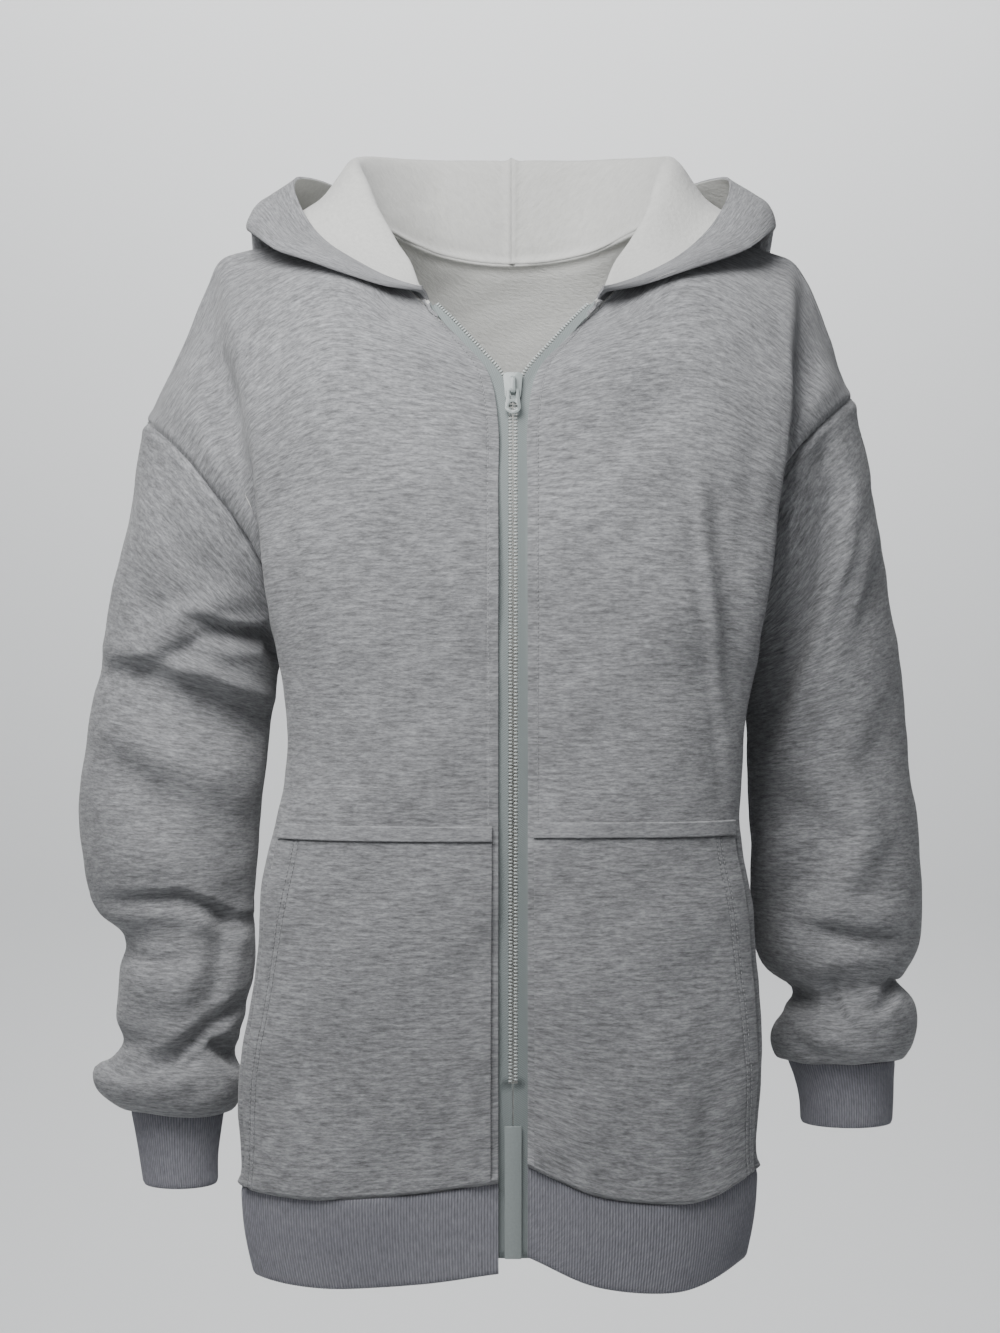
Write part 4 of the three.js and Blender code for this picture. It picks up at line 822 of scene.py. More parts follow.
def add(tree, kind, inputs=None, **settings):
    """A node with its settings and inputs; an input is a value or another node's output."""
    node = tree.nodes.new(kind)
    for key, value in settings.items():
        setattr(node, key, value)
    for key, value in (inputs or {}).items():
        if isinstance(value, bpy.types.NodeSocket):
            tree.links.new(value, node.inputs[key])
        else:
            node.inputs[key].default_value = value
    return node


def finish(name, roughness, sheen=0.0):
    """A new material and its shader."""
    material = bpy.data.materials.new(name)
    material.use_nodes = True
    tree = material.node_tree
    shader = tree.nodes["Principled BSDF"]
    shader.inputs["Roughness"].default_value = roughness
    shader.inputs["Sheen Weight"].default_value = sheen
    shader.inputs["Sheen Roughness"].default_value = 0.6
    return material, tree, shader


def cut_noise(tree, across, up, detail=3.0, roughness=0.6):
    """Noise on the cut's own map, with so many grains a metre across and up."""
    place = add(tree, "ShaderNodeUVMap", uv_map="cut")
    scaled = add(tree, "ShaderNodeMapping", {"Vector": place.outputs["UV"], "Scale": (across, up, 1)})
    return add(tree, "ShaderNodeTexNoise", {
        "Vector": scaled.outputs["Vector"], "Scale": 1.0, "Detail": detail, "Roughness": roughness})


def ramp(tree, value, *stops):
    node = add(tree, "ShaderNodeValToRGB", {"Fac": value})
    elements = node.color_ramp.elements
    while len(elements) < len(stops):
        elements.new(0.5)
    for element, (place, colour) in zip(elements, stops):
        element.position = place
        element.color = (*colour[:3], 1)
    return node.outputs["Color"]


def multiplied(tree, first, second):
    """One colour times another."""
    node = add(tree, "ShaderNodeMix", {"Factor": 1.0}, data_type="RGBA", blend_type="MULTIPLY")
    for key, value in (("A", first), ("B", second)):
        tree.links.new(value, next(s for s in node.inputs if s.name == key and s.type == "RGBA"))
    return next(s for s in node.outputs if s.type == "RGBA")


def bump(tree, shader, height, distance, strength=1.0):
    node = add(tree, "ShaderNodeBump", {"Height": height, "Distance": distance, "Strength": strength})
    tree.links.new(node.outputs["Normal"], shader.inputs["Normal"])


def fade(colour, amount):
    return tuple(channel * amount for channel in colour[:3])


def marl(name, colour, contrast=1.0):
    """Marl fleece: pale and dark fibres drawn out along the knitted rows."""
    material, tree, shader = finish(name, 0.95, 0.25)
    streaks = cut_noise(tree, 75, 420, 5.0, 0.72).outputs["Fac"]
    flecks = cut_noise(tree, 260, 900, 3.0, 0.6).outputs["Fac"]
    clouds = cut_noise(tree, 9, 16, 3.0, 0.6).outputs["Fac"]
    low, high = 1 - 0.42 * contrast, 1 + 0.50 * contrast
    base = ramp(tree, streaks, (0.34, fade(colour, low)), (0.5, colour), (0.67, fade(colour, high)))
    speck = ramp(tree, flecks, (0.38, (0.8, 0.8, 0.81)), (0.5, (1, 1, 1)), (0.66, (1.2, 1.2, 1.2)))
    cloud = ramp(tree, clouds, (0.35, (0.92, 0.92, 0.92)), (0.65, (1.08, 1.08, 1.08)))
    tone = multiplied(tree, multiplied(tree, base, speck), cloud)
    tree.links.new(tone, shader.inputs["Base Color"])
    fuzz = cut_noise(tree, 900, 1300, 3.0, 0.7).outputs["Fac"]
    bump(tree, shader, fuzz, 0.0005, 0.6)
    return material


def brushed(name, colour):
    """The brushed, napped inside of the fleece."""
    material, tree, shader = finish(name, 1.0, 0.45)
    nap = cut_noise(tree, 240, 240, 4.0, 0.7).outputs["Fac"]
    tree.links.new(ramp(tree, nap, (0.3, fade(colour, 0.9)), (0.7, fade(colour, 1.06))),
                   shader.inputs["Base Color"])
    bump(tree, shader, nap, 0.0012, 0.7)
    return material


def rib_knit(name, colour):
    """Rib knit with fine fibres, and painted shade: darker in the valleys between the ribs, lighter on
    their tops.
    """
    material, tree, shader = finish(name, 0.95, 0.2)
    fibres = cut_noise(tree, 500, 160, 3.0, 0.65).outputs["Fac"]
    clouds = cut_noise(tree, 14, 22).outputs["Fac"]
    tone = ramp(tree, fibres, (0.32, fade(colour, 0.8)), (0.68, fade(colour, 1.2)))
    cloud = ramp(tree, clouds, (0.3, (0.94, 0.94, 0.95)), (0.7, (1.06, 1.06, 1.05)))
    height = add(tree, "ShaderNodeAttribute", attribute_name="rib").outputs["Fac"]
    share = add(tree, "ShaderNodeMapRange", {"Value": height, "From Min": -1.0}).outputs["Result"]
    # Painted shade: the rib heights darken the colour between the ribs and lighten the rib tops.
    ribs = ramp(tree, share, (0.0, (0.62, 0.62, 0.63)), (0.75, (1.06, 1.06, 1.06)))
    knit = multiplied(tree, multiplied(tree, tone, cloud), ribs)
    tree.links.new(knit, shader.inputs["Base Color"])
    bump(tree, shader, fibres, 0.0004, 0.5)
    return material


def twill(name, colour):
    """Woven zip tape, with a slanted weave."""
    material, tree, shader = finish(name, 0.8, 0.1)
    place = add(tree, "ShaderNodeUVMap", uv_map="cut")
    turned = add(tree, "ShaderNodeMapping", {"Vector": place.outputs["UV"], "Rotation": (0, 0, 0.6)})
    weave = add(tree, "ShaderNodeTexWave", {
        "Vector": turned.outputs["Vector"], "Scale": 260.0, "Distortion": 0.6, "Detail": 1.0},
        bands_direction="Y")
    tone = ramp(tree, weave.outputs["Fac"], (0.2, fade(colour, 0.88)), (0.8, fade(colour, 1.06)))
    tree.links.new(tone, shader.inputs["Base Color"])
    bump(tree, shader, weave.outputs["Fac"], 0.0002, 0.6)
    return material


def object_noise(tree, grains):
    """Noise in the object's own space, with so many grains a metre."""
    place = add(tree, "ShaderNodeTexCoord")
    return add(tree, "ShaderNodeTexNoise", {"Vector": place.outputs["Object"], "Scale": grains})


def hard(name, colour, roughness, coat):
    """Moulded plastic or paint, with faint unevenness."""
    material, tree, shader = finish(name, roughness)
    shader.inputs["Coat Weight"].default_value = coat
    grain = object_noise(tree, 700.0)
    tone = ramp(tree, grain.outputs["Fac"], (0.3, fade(colour, 0.94)), (0.7, fade(colour, 1.03)))
    tree.links.new(tone, shader.inputs["Base Color"])
    bump(tree, shader, grain.outputs["Fac"], 0.0001, 0.3)
    return material


def thread(name, colour):
    """Sewing thread."""
    material, tree, shader = finish(name, 0.7, 0.2)
    twist = object_noise(tree, 1500.0)
    tone = ramp(tree, twist.outputs["Fac"], (0.3, fade(colour, 0.85)), (0.7, fade(colour, 1.1)))
    tree.links.new(tone, shader.inputs["Base Color"])
    return material


@functools.cache
def finishes():
    """Every finish, from the colours in the panel."""
    colours = bpy.context.scene.hoodie_colours
    return {
        "fleece": marl("Marl fleece", colours.fleece),
        "pocket": marl("Marl fleece, pocket cut", colours.fleece),
        # Painted highlight: the pocket's turned hem is the same fleece painted 12% lighter, with softer
        # streaks, for the light on its raised top.
        "edge": marl("Marl fleece, turned hem, painted highlight", fade(colours.fleece, 1.12), 0.7),
        "inside": brushed("Brushed inside", colours.inside),
        "rib": rib_knit("Rib knit", colours.rib),
        "tape": twill("Zip tape", colours.tape),
        "teeth": hard("Moulded teeth", colours.teeth, 0.4, 0.2),
        "pin": hard("Moulded pin", colours.slider, 0.45, 0.2),
        "slider": hard("Slider paint", colours.slider, 0.38, 0.3),
        "thread": thread("Sewing thread", colours.thread),
    }


# Items repeated along a path

@functools.cache
def repeat_tree():
    """Puts a small rounded item at every pitch of a path, facing the way the path says."""
    tree = bpy.data.node_groups.new("Items along a path", "GeometryNodeTree")
    socket = tree.interface.new_socket
    socket("Geometry", in_out="INPUT", socket_type="NodeSocketGeometry")
    for name in ("Pitch", "Length", "Width", "Height"):
        socket(name, in_out="INPUT", socket_type="NodeSocketFloat")
    socket("Boxy", in_out="INPUT", socket_type="NodeSocketBool")
    socket("Finish", in_out="INPUT", socket_type="NodeSocketMaterial")
    socket("Geometry", in_out="OUTPUT", socket_type="NodeSocketGeometry")
    source = tree.nodes.new("NodeGroupInput").outputs
    path = add(tree, "GeometryNodeMeshToCurve", {"Mesh": source["Geometry"]})
    even = add(tree, "GeometryNodeResampleCurve", {
        "Curve": path.outputs["Curve"], "Length": source["Pitch"]}, mode="LENGTH")
    size = add(tree, "ShaderNodeCombineXYZ", {
        "X": source["Length"], "Y": source["Width"], "Z": source["Height"]})
    cube = add(tree, "GeometryNodeMeshCube", {"Size": size.outputs["Vector"]})
    block = add(tree, "GeometryNodeSubdivisionSurface", {
        "Mesh": cube.outputs["Mesh"], "Level": 1, "Edge Crease": 0.72})
    ball = add(tree, "GeometryNodeMeshUVSphere", {"Segments": 6, "Rings": 4, "Radius": 0.5})
    bead = add(tree, "GeometryNodeTransform", {
        "Geometry": ball.outputs["Mesh"], "Scale": size.outputs["Vector"]})
    item = add(tree, "GeometryNodeSwitch", {
        "Switch": source["Boxy"], "False": bead.outputs["Geometry"], "True": block.outputs["Mesh"]},
        input_type="GEOMETRY")
    out = add(tree, "GeometryNodeInputNamedAttribute", {"Name": "out"}, data_type="FLOAT_VECTOR")
    face = add(tree, "FunctionNodeAlignRotationToVector", {"Vector": out.outputs["Attribute"]}, axis="Z")
    along = add(tree, "GeometryNodeInputTangent")
    turn = add(tree, "FunctionNodeAlignRotationToVector", {
        "Rotation": face.outputs["Rotation"], "Vector": along.outputs["Tangent"]},
        axis="X", pivot_axis="Z")
    place = add(tree, "GeometryNodeInstanceOnPoints", {
        "Points": even.outputs["Curve"], "Instance": item.outputs["Output"],
        "Rotation": turn.outputs["Rotation"]})
    real = add(tree, "GeometryNodeRealizeInstances", {"Geometry": place.outputs["Instances"]})
    painted = add(tree, "GeometryNodeSetMaterial", {
        "Geometry": real.outputs["Geometry"], "Material": source["Finish"]})
    smooth = add(tree, "GeometryNodeSetShadeSmooth", {"Geometry": painted.outputs["Geometry"]})
    result = tree.nodes.new("NodeGroupOutput")
    tree.links.new(smooth.outputs["Geometry"], result.inputs["Geometry"])
    return tree


def repeated(name, paths, pitch, size, material, boxy=False):
    """A plain mesh of items along paths of points in mm and their outward directions."""
    mesh = bpy.data.meshes.new(name + " path")
    starts = np.cumsum([0] + [len(points) for points, _ in paths])
    edges = [(k, k + 1) for s, e in zip(starts[:-1], starts[1:]) for k in range(s, e - 1)]
    points = np.concatenate([points for points, _ in paths]) * MM
    mesh.from_pydata(points.tolist(), edges, [])
    outward = np.concatenate([out for _, out in paths]).astype(np.float32)
    facing = mesh.attributes.new("out", "FLOAT_VECTOR", "POINT")
    facing.data.foreach_set("vector", outward.ravel())
    source = link(bpy.data.objects.new(name + " path", mesh))
    tree = repeat_tree()
    modifier = source.modifiers.new("Items", "NODES")
    modifier.node_group = tree
    values = {"Pitch": pitch, "Length": size[0], "Width": size[1], "Height": size[2],
              "Boxy": boxy, "Finish": material}
    for item in tree.interface.items_tree:
        if item.item_type == "SOCKET" and item.in_out == "INPUT" and item.name in values:
            modifier[item.identifier] = values[item.name]
    bpy.context.view_layer.update()
    evaluated = source.evaluated_get(bpy.context.evaluated_depsgraph_get())
    result = link(bpy.data.objects.new(name, bpy.data.meshes.new_from_object(evaluated)))
    result.data.name = name
    source.modifiers.clear()
    bpy.data.objects.remove(source)
    bpy.data.meshes.remove(mesh)
    return result


# Sizes and colours that a user would change

def size_property(name, description, default):
    return bpy.props.FloatProperty(
        name=name, description=description, default=default, min=0, unit="LENGTH", subtype="DISTANCE",
        precision=5)


def colour_property(name, description, default):
    return bpy.props.FloatVectorProperty(
        name=name, description=description, default=default, size=3, min=0, max=1, subtype="COLOR")


class HoodieSizes(bpy.types.PropertyGroup):
    """Sizes of the hoodie's cloth and small parts."""

    rib_pitch: size_property("Rib pitch", "Distance from rib to rib", 0.002)
    rib_height: size_property("Rib height", "How far a rib stands proud", 0.00035)
    stitch_pitch: size_property("Stitch pitch", "Distance from stitch to stitch", 0.003)
    stitch_length: size_property("Stitch length", "Length of one stitch", 0.0024)
    stitch_width: size_property("Stitch width", "Width of the thread", 0.0007)
    tooth_pitch: size_property("Tooth pitch", "Distance between teeth on one tape", 0.0023)
    tooth_length: size_property("Tooth length", "Length of a tooth along the tape", 0.0014)
    tooth_width: size_property("Tooth width", "Width of a tooth across the tape", 0.0028)


class HoodieColours(bpy.types.PropertyGroup):
    """Colours of the hoodie."""

    fleece: colour_property("Fleece", "Middle tone of the marl", (0.285, 0.288, 0.297))
    inside: colour_property("Inside", "Brushed inside of the fleece", (0.74, 0.74, 0.71))
    rib: colour_property("Rib", "Cuffs and waistband", (0.275, 0.275, 0.308))
    tape: colour_property("Tape", "Woven zip tape", (0.27, 0.305, 0.303))
    teeth: colour_property("Teeth", "Moulded zip teeth", (0.56, 0.60, 0.59))
    slider: colour_property("Slider", "Paint of the slider and pull tab", (0.34, 0.38, 0.375))
    thread: colour_property("Thread", "Sewing thread", (0.36, 0.365, 0.375))
    stage: colour_property("Stage", "Floor and backdrop", (0.72, 0.73, 0.735))


class Step:
    """Runs a step with the scene's sizes."""

    bl_options = {"REGISTER", "UNDO"}

    def execute(self, context):
        self.make(context.scene.hoodie_sizes)
        return {"FINISHED"}


UV_STARTS = {
    "front_left": (0, 0), "front_right": (1.3, 0.4), "back": (2.9, 1.1), "sleeve_left": (4.1, 0.7),
    "sleeve_right": (5.7, 1.9), "hood_left": (7.3, 0.2), "hood_right": (8.9, 1.3),
}


class FleeceStep(Step):
    """Sews the fleece pieces whose names start in one way."""

    def make(self, sizes):
        for name, piece in fleece_pieces().items():
            if name.startswith(self.start):
                outer, inner = piece.layers()
                obj = wall(name + "_cloth", outer, inner, piece.closed, UV_STARTS[name])
                sew(obj, name, "fleece", finishes()["fleece"], finishes()["inside"])


class HOODIE_OT_fronts(FleeceStep, bpy.types.Operator):
    """Make the two fronts of marl fleece"""

    bl_idname = "hoodie.fronts"
    bl_label = "Fronts"
    start = "front"


class HOODIE_OT_back(FleeceStep, bpy.types.Operator):
    """Make the back"""

    bl_idname = "hoodie.back"
    bl_label = "Back"
    start = "back"


class HOODIE_OT_sleeves(FleeceStep, bpy.types.Operator):
    """Make the two sleeves with their folds"""

    bl_idname = "hoodie.sleeves"
    bl_label = "Sleeves"
    start = "sleeve"


class HOODIE_OT_hood(FleeceStep, bpy.types.Operator):
    """Make the two halves of the hood"""

    bl_idname = "hoodie.hood"
    bl_label = "Hood"
    start = "hood"


def ribbed(grid, closed, turn, sizes):
    """Outer and inner points and rib heights of a rib knit tube, drawn in at its seam end."""
    normals = grid_normals(grid, closed, turn)
    ring = np.concatenate([grid, grid[:, :1]], 1) if closed else grid
    run = measure(ring[:1], 1)
    total = run[0, -1]
    ribs = max(round(total * MM / sizes.rib_pitch), 1)
    shape = np.cos(run[:, :grid.shape[1]] / total * ribs * 2 * math.pi)
    height = sizes.rib_height / MM * shape
    down = measure(grid, 0)
    left = down[-1:] - down
    relief = seam_relief(down, 0.7, 0.0) + 0.9 * np.exp(-(left / 1.6)**2) - height
    outer = grid - normals * relief[..., None]
    return outer, grid - normals * RIB_THICKNESS, np.broadcast_to(shape, relief.shape)


def note_ribs(obj, shape):
    """Keeps on the mesh how high each point stands on its rib."""
    heights = obj.data.attributes.new("rib", "FLOAT", "POINT")
    heights.data.foreach_set("value", np.tile(shape.ravel(), 2).astype(np.float32))


class HOODIE_OT_cuffs(Step, bpy.types.Operator):
    """Make the two ribbed cuffs"""

    bl_idname = "hoodie.cuffs"
    bl_label = "Cuffs"

    def make(self, sizes):
        for side, sign in SIDES.items():
            rings = arm_rings(side, CUFF[side], 3.2)
            round_arm = 2 * math.pi * CUFF[side]["wide"][1] * MM
            count = 4 * round(round_arm / sizes.rib_pitch)
            grid = ring_points(side, rings, np.arange(count) * 360 / count)
            outer, inner, shape = ribbed(grid, True, -sign, sizes)
            obj = wall(f"cuff_{side}_rib", outer, inner, True, (3.3 * sign, 5))
            note_ribs(obj, shape)
            sew(obj, "cuff_" + side, "rib", finishes()["rib"], finishes()["rib"])


def hem_line(step):
    """The hem seam all round from zip to zip, at even steps."""
    fine = np.linspace(0, 1, 400)
    left = panel_grid("left", False, fine, [0.0])[0]
    right = panel_grid("right", False, fine, [0.0])[0][::-1]
    back = np.concatenate([panel_grid("left", True, fine, [0.0])[0][::-1],
                           panel_grid("right", True, fine, [0.0])[0][1:]])
    line = np.concatenate([left[:-1], back, right[1:]])
    run = measure(line[None], 1)[0]
    even = np.linspace(0, run[-1], int(round(run[-1] / step)) + 1)
    return np.stack([np.interp(even, run, line[:, k]) for k in range(3)], -1)


class HOODIE_OT_waistband(Step, bpy.types.Operator):
    """Make the ribbed waistband, open at the zip"""

    bl_idname = "hoodie.waistband"
    bl_label = "Waistband"

    def make(self, sizes):
        line = hem_line(sizes.rib_pitch / MM / 4)
        down = stops_between(0, 1, WAISTBAND_HEIGHT, 6)[:, None]
        pull = 1 - WAISTBAND_DRAW_IN * down * np.minimum(np.abs(line[:, 0]) / 100, 1)
        swell = 1 + 0.012 * np.sin(math.pi * down)
        grid = np.stack([line[:, 0] * pull * swell, line[:, 1] * pull,
                         line[:, 2] - WAISTBAND_HEIGHT * down * np.ones(len(line))], -1)
        outer, inner, shape = ribbed(grid, False, 1, sizes)
        obj = wall("waistband_rib", outer, inner, False, (0, 7))
        note_ribs(obj, shape)
        sew(obj, "waistband", "rib", finishes()["rib"], finishes()["rib"])


def pocket_layer(side, low, high, lift, puff=0.0):
    """Points of a pocket piece on a front, lifted off it; puff opens its mouth a little."""
    up = low + (high - low) * stops_between(0, 1, max((high - low) * 368, 4), CELL)
    share = stops_between(0, 1, POCKET_WIDTH, CELL, SEAM_STOPS, POCKET_STOPS)[None]
    across = POCKET_EDGE + (pocket_mouth(up)[:, None] - POCKET_EDGE) * share
    up = np.broadcast_to(up[:, None], across.shape)
    inset = (1 - share) * POCKET_WIDTH
    raised = lift + puff * mouth_puff(inset, up, low, high)
    if puff:
        for at in mouth_stitches(up):
            raised = raised - groove(inset, at, 0.7, 0.9)
    points, _ = dressed_front(side, across.ravel(), up.ravel(), raised.ravel())
    return points.reshape(*across.shape, 3)


class HOODIE_OT_pockets(Step, bpy.types.Operator):
    """Make the patch pockets and their top hems"""

    bl_idname = "hoodie.pockets"
    bl_label = "Pockets"

    def make(self, sizes):
        for side, sign in SIDES.items():
            for name, low, high, thick, puff, key in (
                ("pocket_" + side, 0.006, POCKET_TOP - 0.001, FLEECE_THICKNESS, POCKET_PUFF, "pocket"),
                ("pocket_welt_" + side, POCKET_TOP, POCKET_TOP + POCKET_WELT, 3.2, 0.0, "edge"),
            ):
                inner = pocket_layer(side, low, high, POCKET_LIFT, puff)
                outer = pocket_layer(side, low, high, POCKET_LIFT + thick, puff)
                obj = wall(name + "_cloth", outer, inner, False, (10 + 3 * sign, 3 + 5 * (puff > 0)))
                sew(obj, name, "fleece", finishes()[key], finishes()["inside"])


class HOODIE_OT_zip_tapes(Step, bpy.types.Operator):
    """Make the woven zip tapes"""

    bl_idname = "hoodie.zip_tapes"
    bl_label = "Zip tapes"

    def make(self, sizes):
        z = np.concatenate([
            np.linspace(ZIP_BOTTOM_Z, TEETH_BOTTOM_Z - 0.1, 20), np.linspace(TEETH_BOTTOM_Z, -112, 90),
            np.linspace(-110, NECK_CORNER_Z - 1, 40)])
        for side in SIDES:
            rows, stops = panel_rows(side, False)
            edges = [*rows[:, 0, 2], front_edge(side, NECK_CORNER_Z)[2]]
            hem = TORSO["z"][0] + HEM_DIP[side][0]
            edge_z = zip_point(side, z, FRONT_EDGE, -CHAIN_DEPTH)[:, 2]
            up = np.clip(through(edges, stops, edge_z), 0, 2)
            depth = FLEECE_THICKNESS + TAPE_SET_BACK + TAPE_THICKNESS / 2
            behind, _ = dressed_front(side, np.full(len(z), 0.02), up, np.full(len(z), -depth))
            low = zip_point(side, z, TAPE_START + TAPE_WIDTH, TAPE_SET_BACK + TAPE_THICKNESS)
            behind = np.where((z > hem)[:, None], behind, low)
            _, chain_out, away = chain_frame(side, z)
            start = np.where(z < TEETH_BOTTOM_Z, TAPE_GAP, TAPE_START - 0.3)[:, None]

            def layer(offset):
                inner = chain_point(side, z) + away * start - chain_out * offset
                turned = zip_point(side, z, FRONT_EDGE - TURNED_EDGE, offset + TAPE_SET_BACK)
                far = behind - chain_out * offset
                columns = [inner + (turned - inner) * t for t in (0, 0.1, 0.35, 0.6, 0.85)]
                columns += [turned + (far - turned) * t for t in (0, 0.5, 1)]
                return np.stack(columns, 1)

            obj = wall(f"zip_tape_{side}_weave", layer(-TAPE_THICKNESS / 2), layer(TAPE_THICKNESS / 2))
            sew(obj, "zip_tape_" + side, "tape", finishes()["tape"], finishes()["tape"])


class HOODIE_OT_zip_teeth(Step, bpy.types.Operator):
    """Make the two rows of moulded teeth, side by side where the zip is closed"""

    bl_idname = "hoodie.zip_teeth"
    bl_label = "Zip teeth"

    def make(self, sizes):
        size = (sizes.tooth_length, sizes.tooth_width, 0.0024)
        for side in SIDES:
            shift = sizes.tooth_pitch / MM / 2 if side == "right" else 0
            z = np.linspace(TEETH_BOTTOM_Z + 1.5 + shift, NECK_CORNER_Z - 2, 400)
            path = (zip_point(side, z, TOOTH_MIDDLE, 0), chain_frame(side, z)[1])
            obj = repeated(f"zip_teeth_{side}_moulded", [path], sizes.tooth_pitch, size,
                           finishes()["teeth"], boxy=True)
            dress(obj, "teeth")
            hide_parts("zip_teeth_" + side)


def rounded(node, name, width, material, body=GARMENT):
    """A copy of a hard piece with its edges rounded."""
    obj = link(bpy.data.objects.new(name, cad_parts[node].data.copy()))
    obj.data.transform(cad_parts[node].matrix_world)
    obj.data.materials.clear()
    obj.data.materials.append(material)
    for modifier, settings in (
        ("WELD", {"merge_threshold": 1e-6}),
        ("BEVEL", {"width": width * MM, "segments": 2, "angle_limit": 0.6}),
    ):
        step = obj.modifiers.new(modifier, modifier)
        for key, value in settings.items():
            setattr(step, key, value)
    bpy.context.view_layer.update()
    evaluated = obj.evaluated_get(bpy.context.evaluated_depsgraph_get())
    mesh = bpy.data.meshes.new_from_object(evaluated)
    obj.modifiers.clear()
    obj.data = mesh
    mesh.shade_smooth()
    mesh.set_sharp_from_angle(angle=0.7)
    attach(obj, body)
    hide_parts(node)


class HOODIE_OT_slider(Step, bpy.types.Operator):
    """Finish the slider, its pull tab and the pin at the zip's foot"""

    bl_idname = "hoodie.slider"
    bl_label = "Slider and pin"

    def make(self, sizes):
        paint = finishes()["slider"]
        rounded("zip_slider", "zip_slider_rounded", 0.3, paint)
        rounded("zip_pull", "zip_pull_rounded", 0.3, paint, "pull")
        rounded("zip_pin", "zip_pin_rounded", 0.6, finishes()["pin"])


def line_on_front(side, across, up, lift, count=60):
    """A path on a front from a few places across and up."""
    stops = np.linspace(0, 1, len(across))
    at = np.linspace(0, 1, count)
    return dressed_front(side, through(stops, across, at), through(stops, up, at), np.full(count, lift))


class HOODIE_OT_stitching(Step, bpy.types.Operator):
    """Make the rows of stitches along the zip, pockets, hems and hood"""

    bl_idname = "hoodie.stitching"
    bl_label = "Stitching"
    # Make the rows of stitches along the zip, the pocket mouths and the pockets' top hems

    def make(self, sizes):
        paths = []
        for side in SIDES:
            inset = PLACKET_STITCH * PLACKET_SHARE
            paths.append(line_on_front(side, [inset] * 4, [0.004, 0.6, 1.2, 1.96], -0.2, 240))
            up = np.linspace(0.012, POCKET_TOP - 0.008, 60)
            for inset in mouth_stitches(up):
                across = pocket_mouth(up) - inset / POCKET_SPAN
                lift = POCKET_LIFT + FLEECE_THICKNESS + 0.1 + POCKET_PUFF * mouth_puff(inset, up)
                paths.append(dressed_front(side, across, up, lift))
            for low in (0.0045, 0.0215):
                paths.append(line_on_front(
                    side, [0.024, 0.3, 0.57], [POCKET_TOP + low] * 3, 3.1, 80))
        obj = repeated("stitching", paths, sizes.stitch_pitch,
                       (sizes.stitch_length, sizes.stitch_width, sizes.stitch_width),
                       finishes()["thread"])
        dress(obj, "fleece")


# Stage: the backdrop's section, the lights by name, place, turn, size and power, and the camera

FLOOR_Z = -1.3
BACKDROP_Y = 3.0
BACKDROP_BEND = 0.6
LIGHTS = (
    ("key", (-0.3, -0.76, 0.58), (44, 0, -20), 0.7, 17.5),
    ("front", (-0.8, -2.6, 0.0), (86, 0, -17), 1.8, 5),
    ("wall", (0.0, 1.9, 1.6), (44, 0, 0), 3.0, 110),
)
CAMERA_PLACE = (-0.0086, -1.93, -0.285)
CAMERA_DISTANCE = 1.8
VIEW_HEIGHT = 0.88
SENSOR = 24


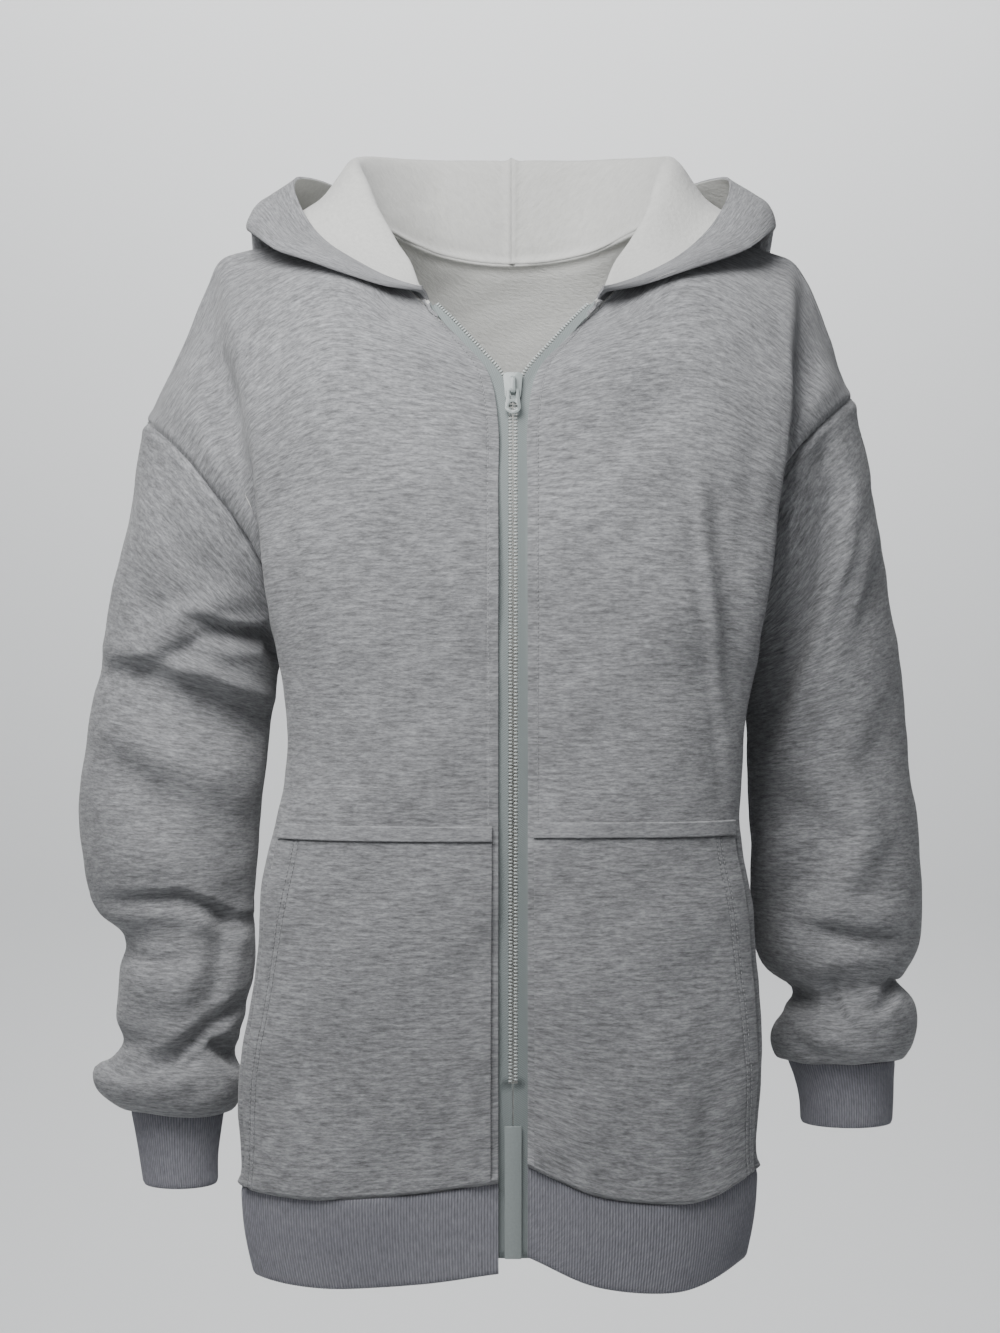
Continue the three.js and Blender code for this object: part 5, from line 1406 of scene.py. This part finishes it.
class HOODIE_OT_stage(Step, bpy.types.Operator):
    """Make the pale floor, the backdrop, the lights and the camera"""

    bl_idname = "hoodie.stage"
    bl_label = "Stage"

    def make(self, sizes):
        colour = bpy.context.scene.hoodie_colours.stage
        material, _, shader = finish("Pale stage", 0.9)
        shader.inputs["Base Color"].default_value = (*colour, 1)
        bend_y, bend_z = BACKDROP_Y - BACKDROP_BEND, FLOOR_Z + BACKDROP_BEND
        arc = [(-5.0, FLOOR_Z), (bend_y, FLOOR_Z)]
        arc += [(bend_y + BACKDROP_BEND * math.sin(a), bend_z - BACKDROP_BEND * math.cos(a))
                for a in np.linspace(0.15, math.pi / 2, 14)]
        arc += [(BACKDROP_Y, 3.4)]
        points = [(x, y, z) for y, z in arc for x in (-4.0, 4.0)]
        faces = [(2 * k, 2 * k + 1, 2 * k + 3, 2 * k + 2) for k in range(len(arc) - 1)]
        mesh = bpy.data.meshes.new("backdrop")
        mesh.from_pydata(points, [], faces)
        mesh.shade_smooth()
        mesh.materials.append(material)
        link(bpy.data.objects.new("backdrop", mesh))
        world = bpy.context.scene.world or bpy.data.worlds.new("Studio")
        bpy.context.scene.world = world
        world.use_nodes = True
        sky = world.node_tree.nodes["Background"]
        sky.inputs["Color"].default_value = (0.93, 0.95, 1.0, 1)
        sky.inputs["Strength"].default_value = 0.17
        for name, place, turn, size, power in LIGHTS:
            light = bpy.data.lights.new(name, "AREA")
            light.size = size
            light.energy = power
            lamp = link(bpy.data.objects.new(name, light))
            lamp.location = place
            lamp.rotation_euler = [math.radians(a) for a in turn]
        camera = bpy.data.cameras.new("camera")
        camera.sensor_fit = "VERTICAL"
        camera.sensor_height = SENSOR
        camera.lens = SENSOR * CAMERA_DISTANCE / VIEW_HEIGHT
        camera.clip_end = 20
        view = link(bpy.data.objects.new("camera", camera))
        view.location = CAMERA_PLACE
        view.rotation_euler = (math.pi / 2, 0, 0)
        bpy.context.scene.camera = view


STEPS = (
    HOODIE_OT_stage, HOODIE_OT_fronts, HOODIE_OT_back, HOODIE_OT_sleeves, HOODIE_OT_cuffs,
    HOODIE_OT_hood, HOODIE_OT_waistband, HOODIE_OT_pockets, HOODIE_OT_zip_tapes, HOODIE_OT_zip_teeth,
    HOODIE_OT_slider, HOODIE_OT_stitching,
)


class HOODIE_PT_panel(bpy.types.Panel):
    """The steps, sizes and colours of the hoodie"""

    bl_idname = "HOODIE_PT_panel"
    bl_label = "Zip Up Hoodie"
    bl_space_type = "VIEW_3D"
    bl_region_type = "UI"
    bl_category = "Hoodie"

    def draw(self, context):
        for group in (context.scene.hoodie_sizes, context.scene.hoodie_colours):
            for name in group.__annotations__:
                self.layout.prop(group, name)
        for step in STEPS:
            self.layout.operator(step.bl_idname)


CLASSES = (HoodieSizes, HoodieColours, *STEPS, HOODIE_PT_panel)


def register():
    for cls in CLASSES:
        bpy.utils.register_class(cls)
    bpy.types.Scene.hoodie_sizes = bpy.props.PointerProperty(type=HoodieSizes)
    bpy.types.Scene.hoodie_colours = bpy.props.PointerProperty(type=HoodieColours)


def unregister():
    del bpy.types.Scene.hoodie_colours
    del bpy.types.Scene.hoodie_sizes
    for cls in reversed(CLASSES):
        bpy.utils.unregister_class(cls)


def main():
    register()
    for step in STEPS:
        group, name = step.bl_idname.split(".")
        getattr(getattr(bpy.ops, group), name)()


if __name__ == "__main__":
    main()
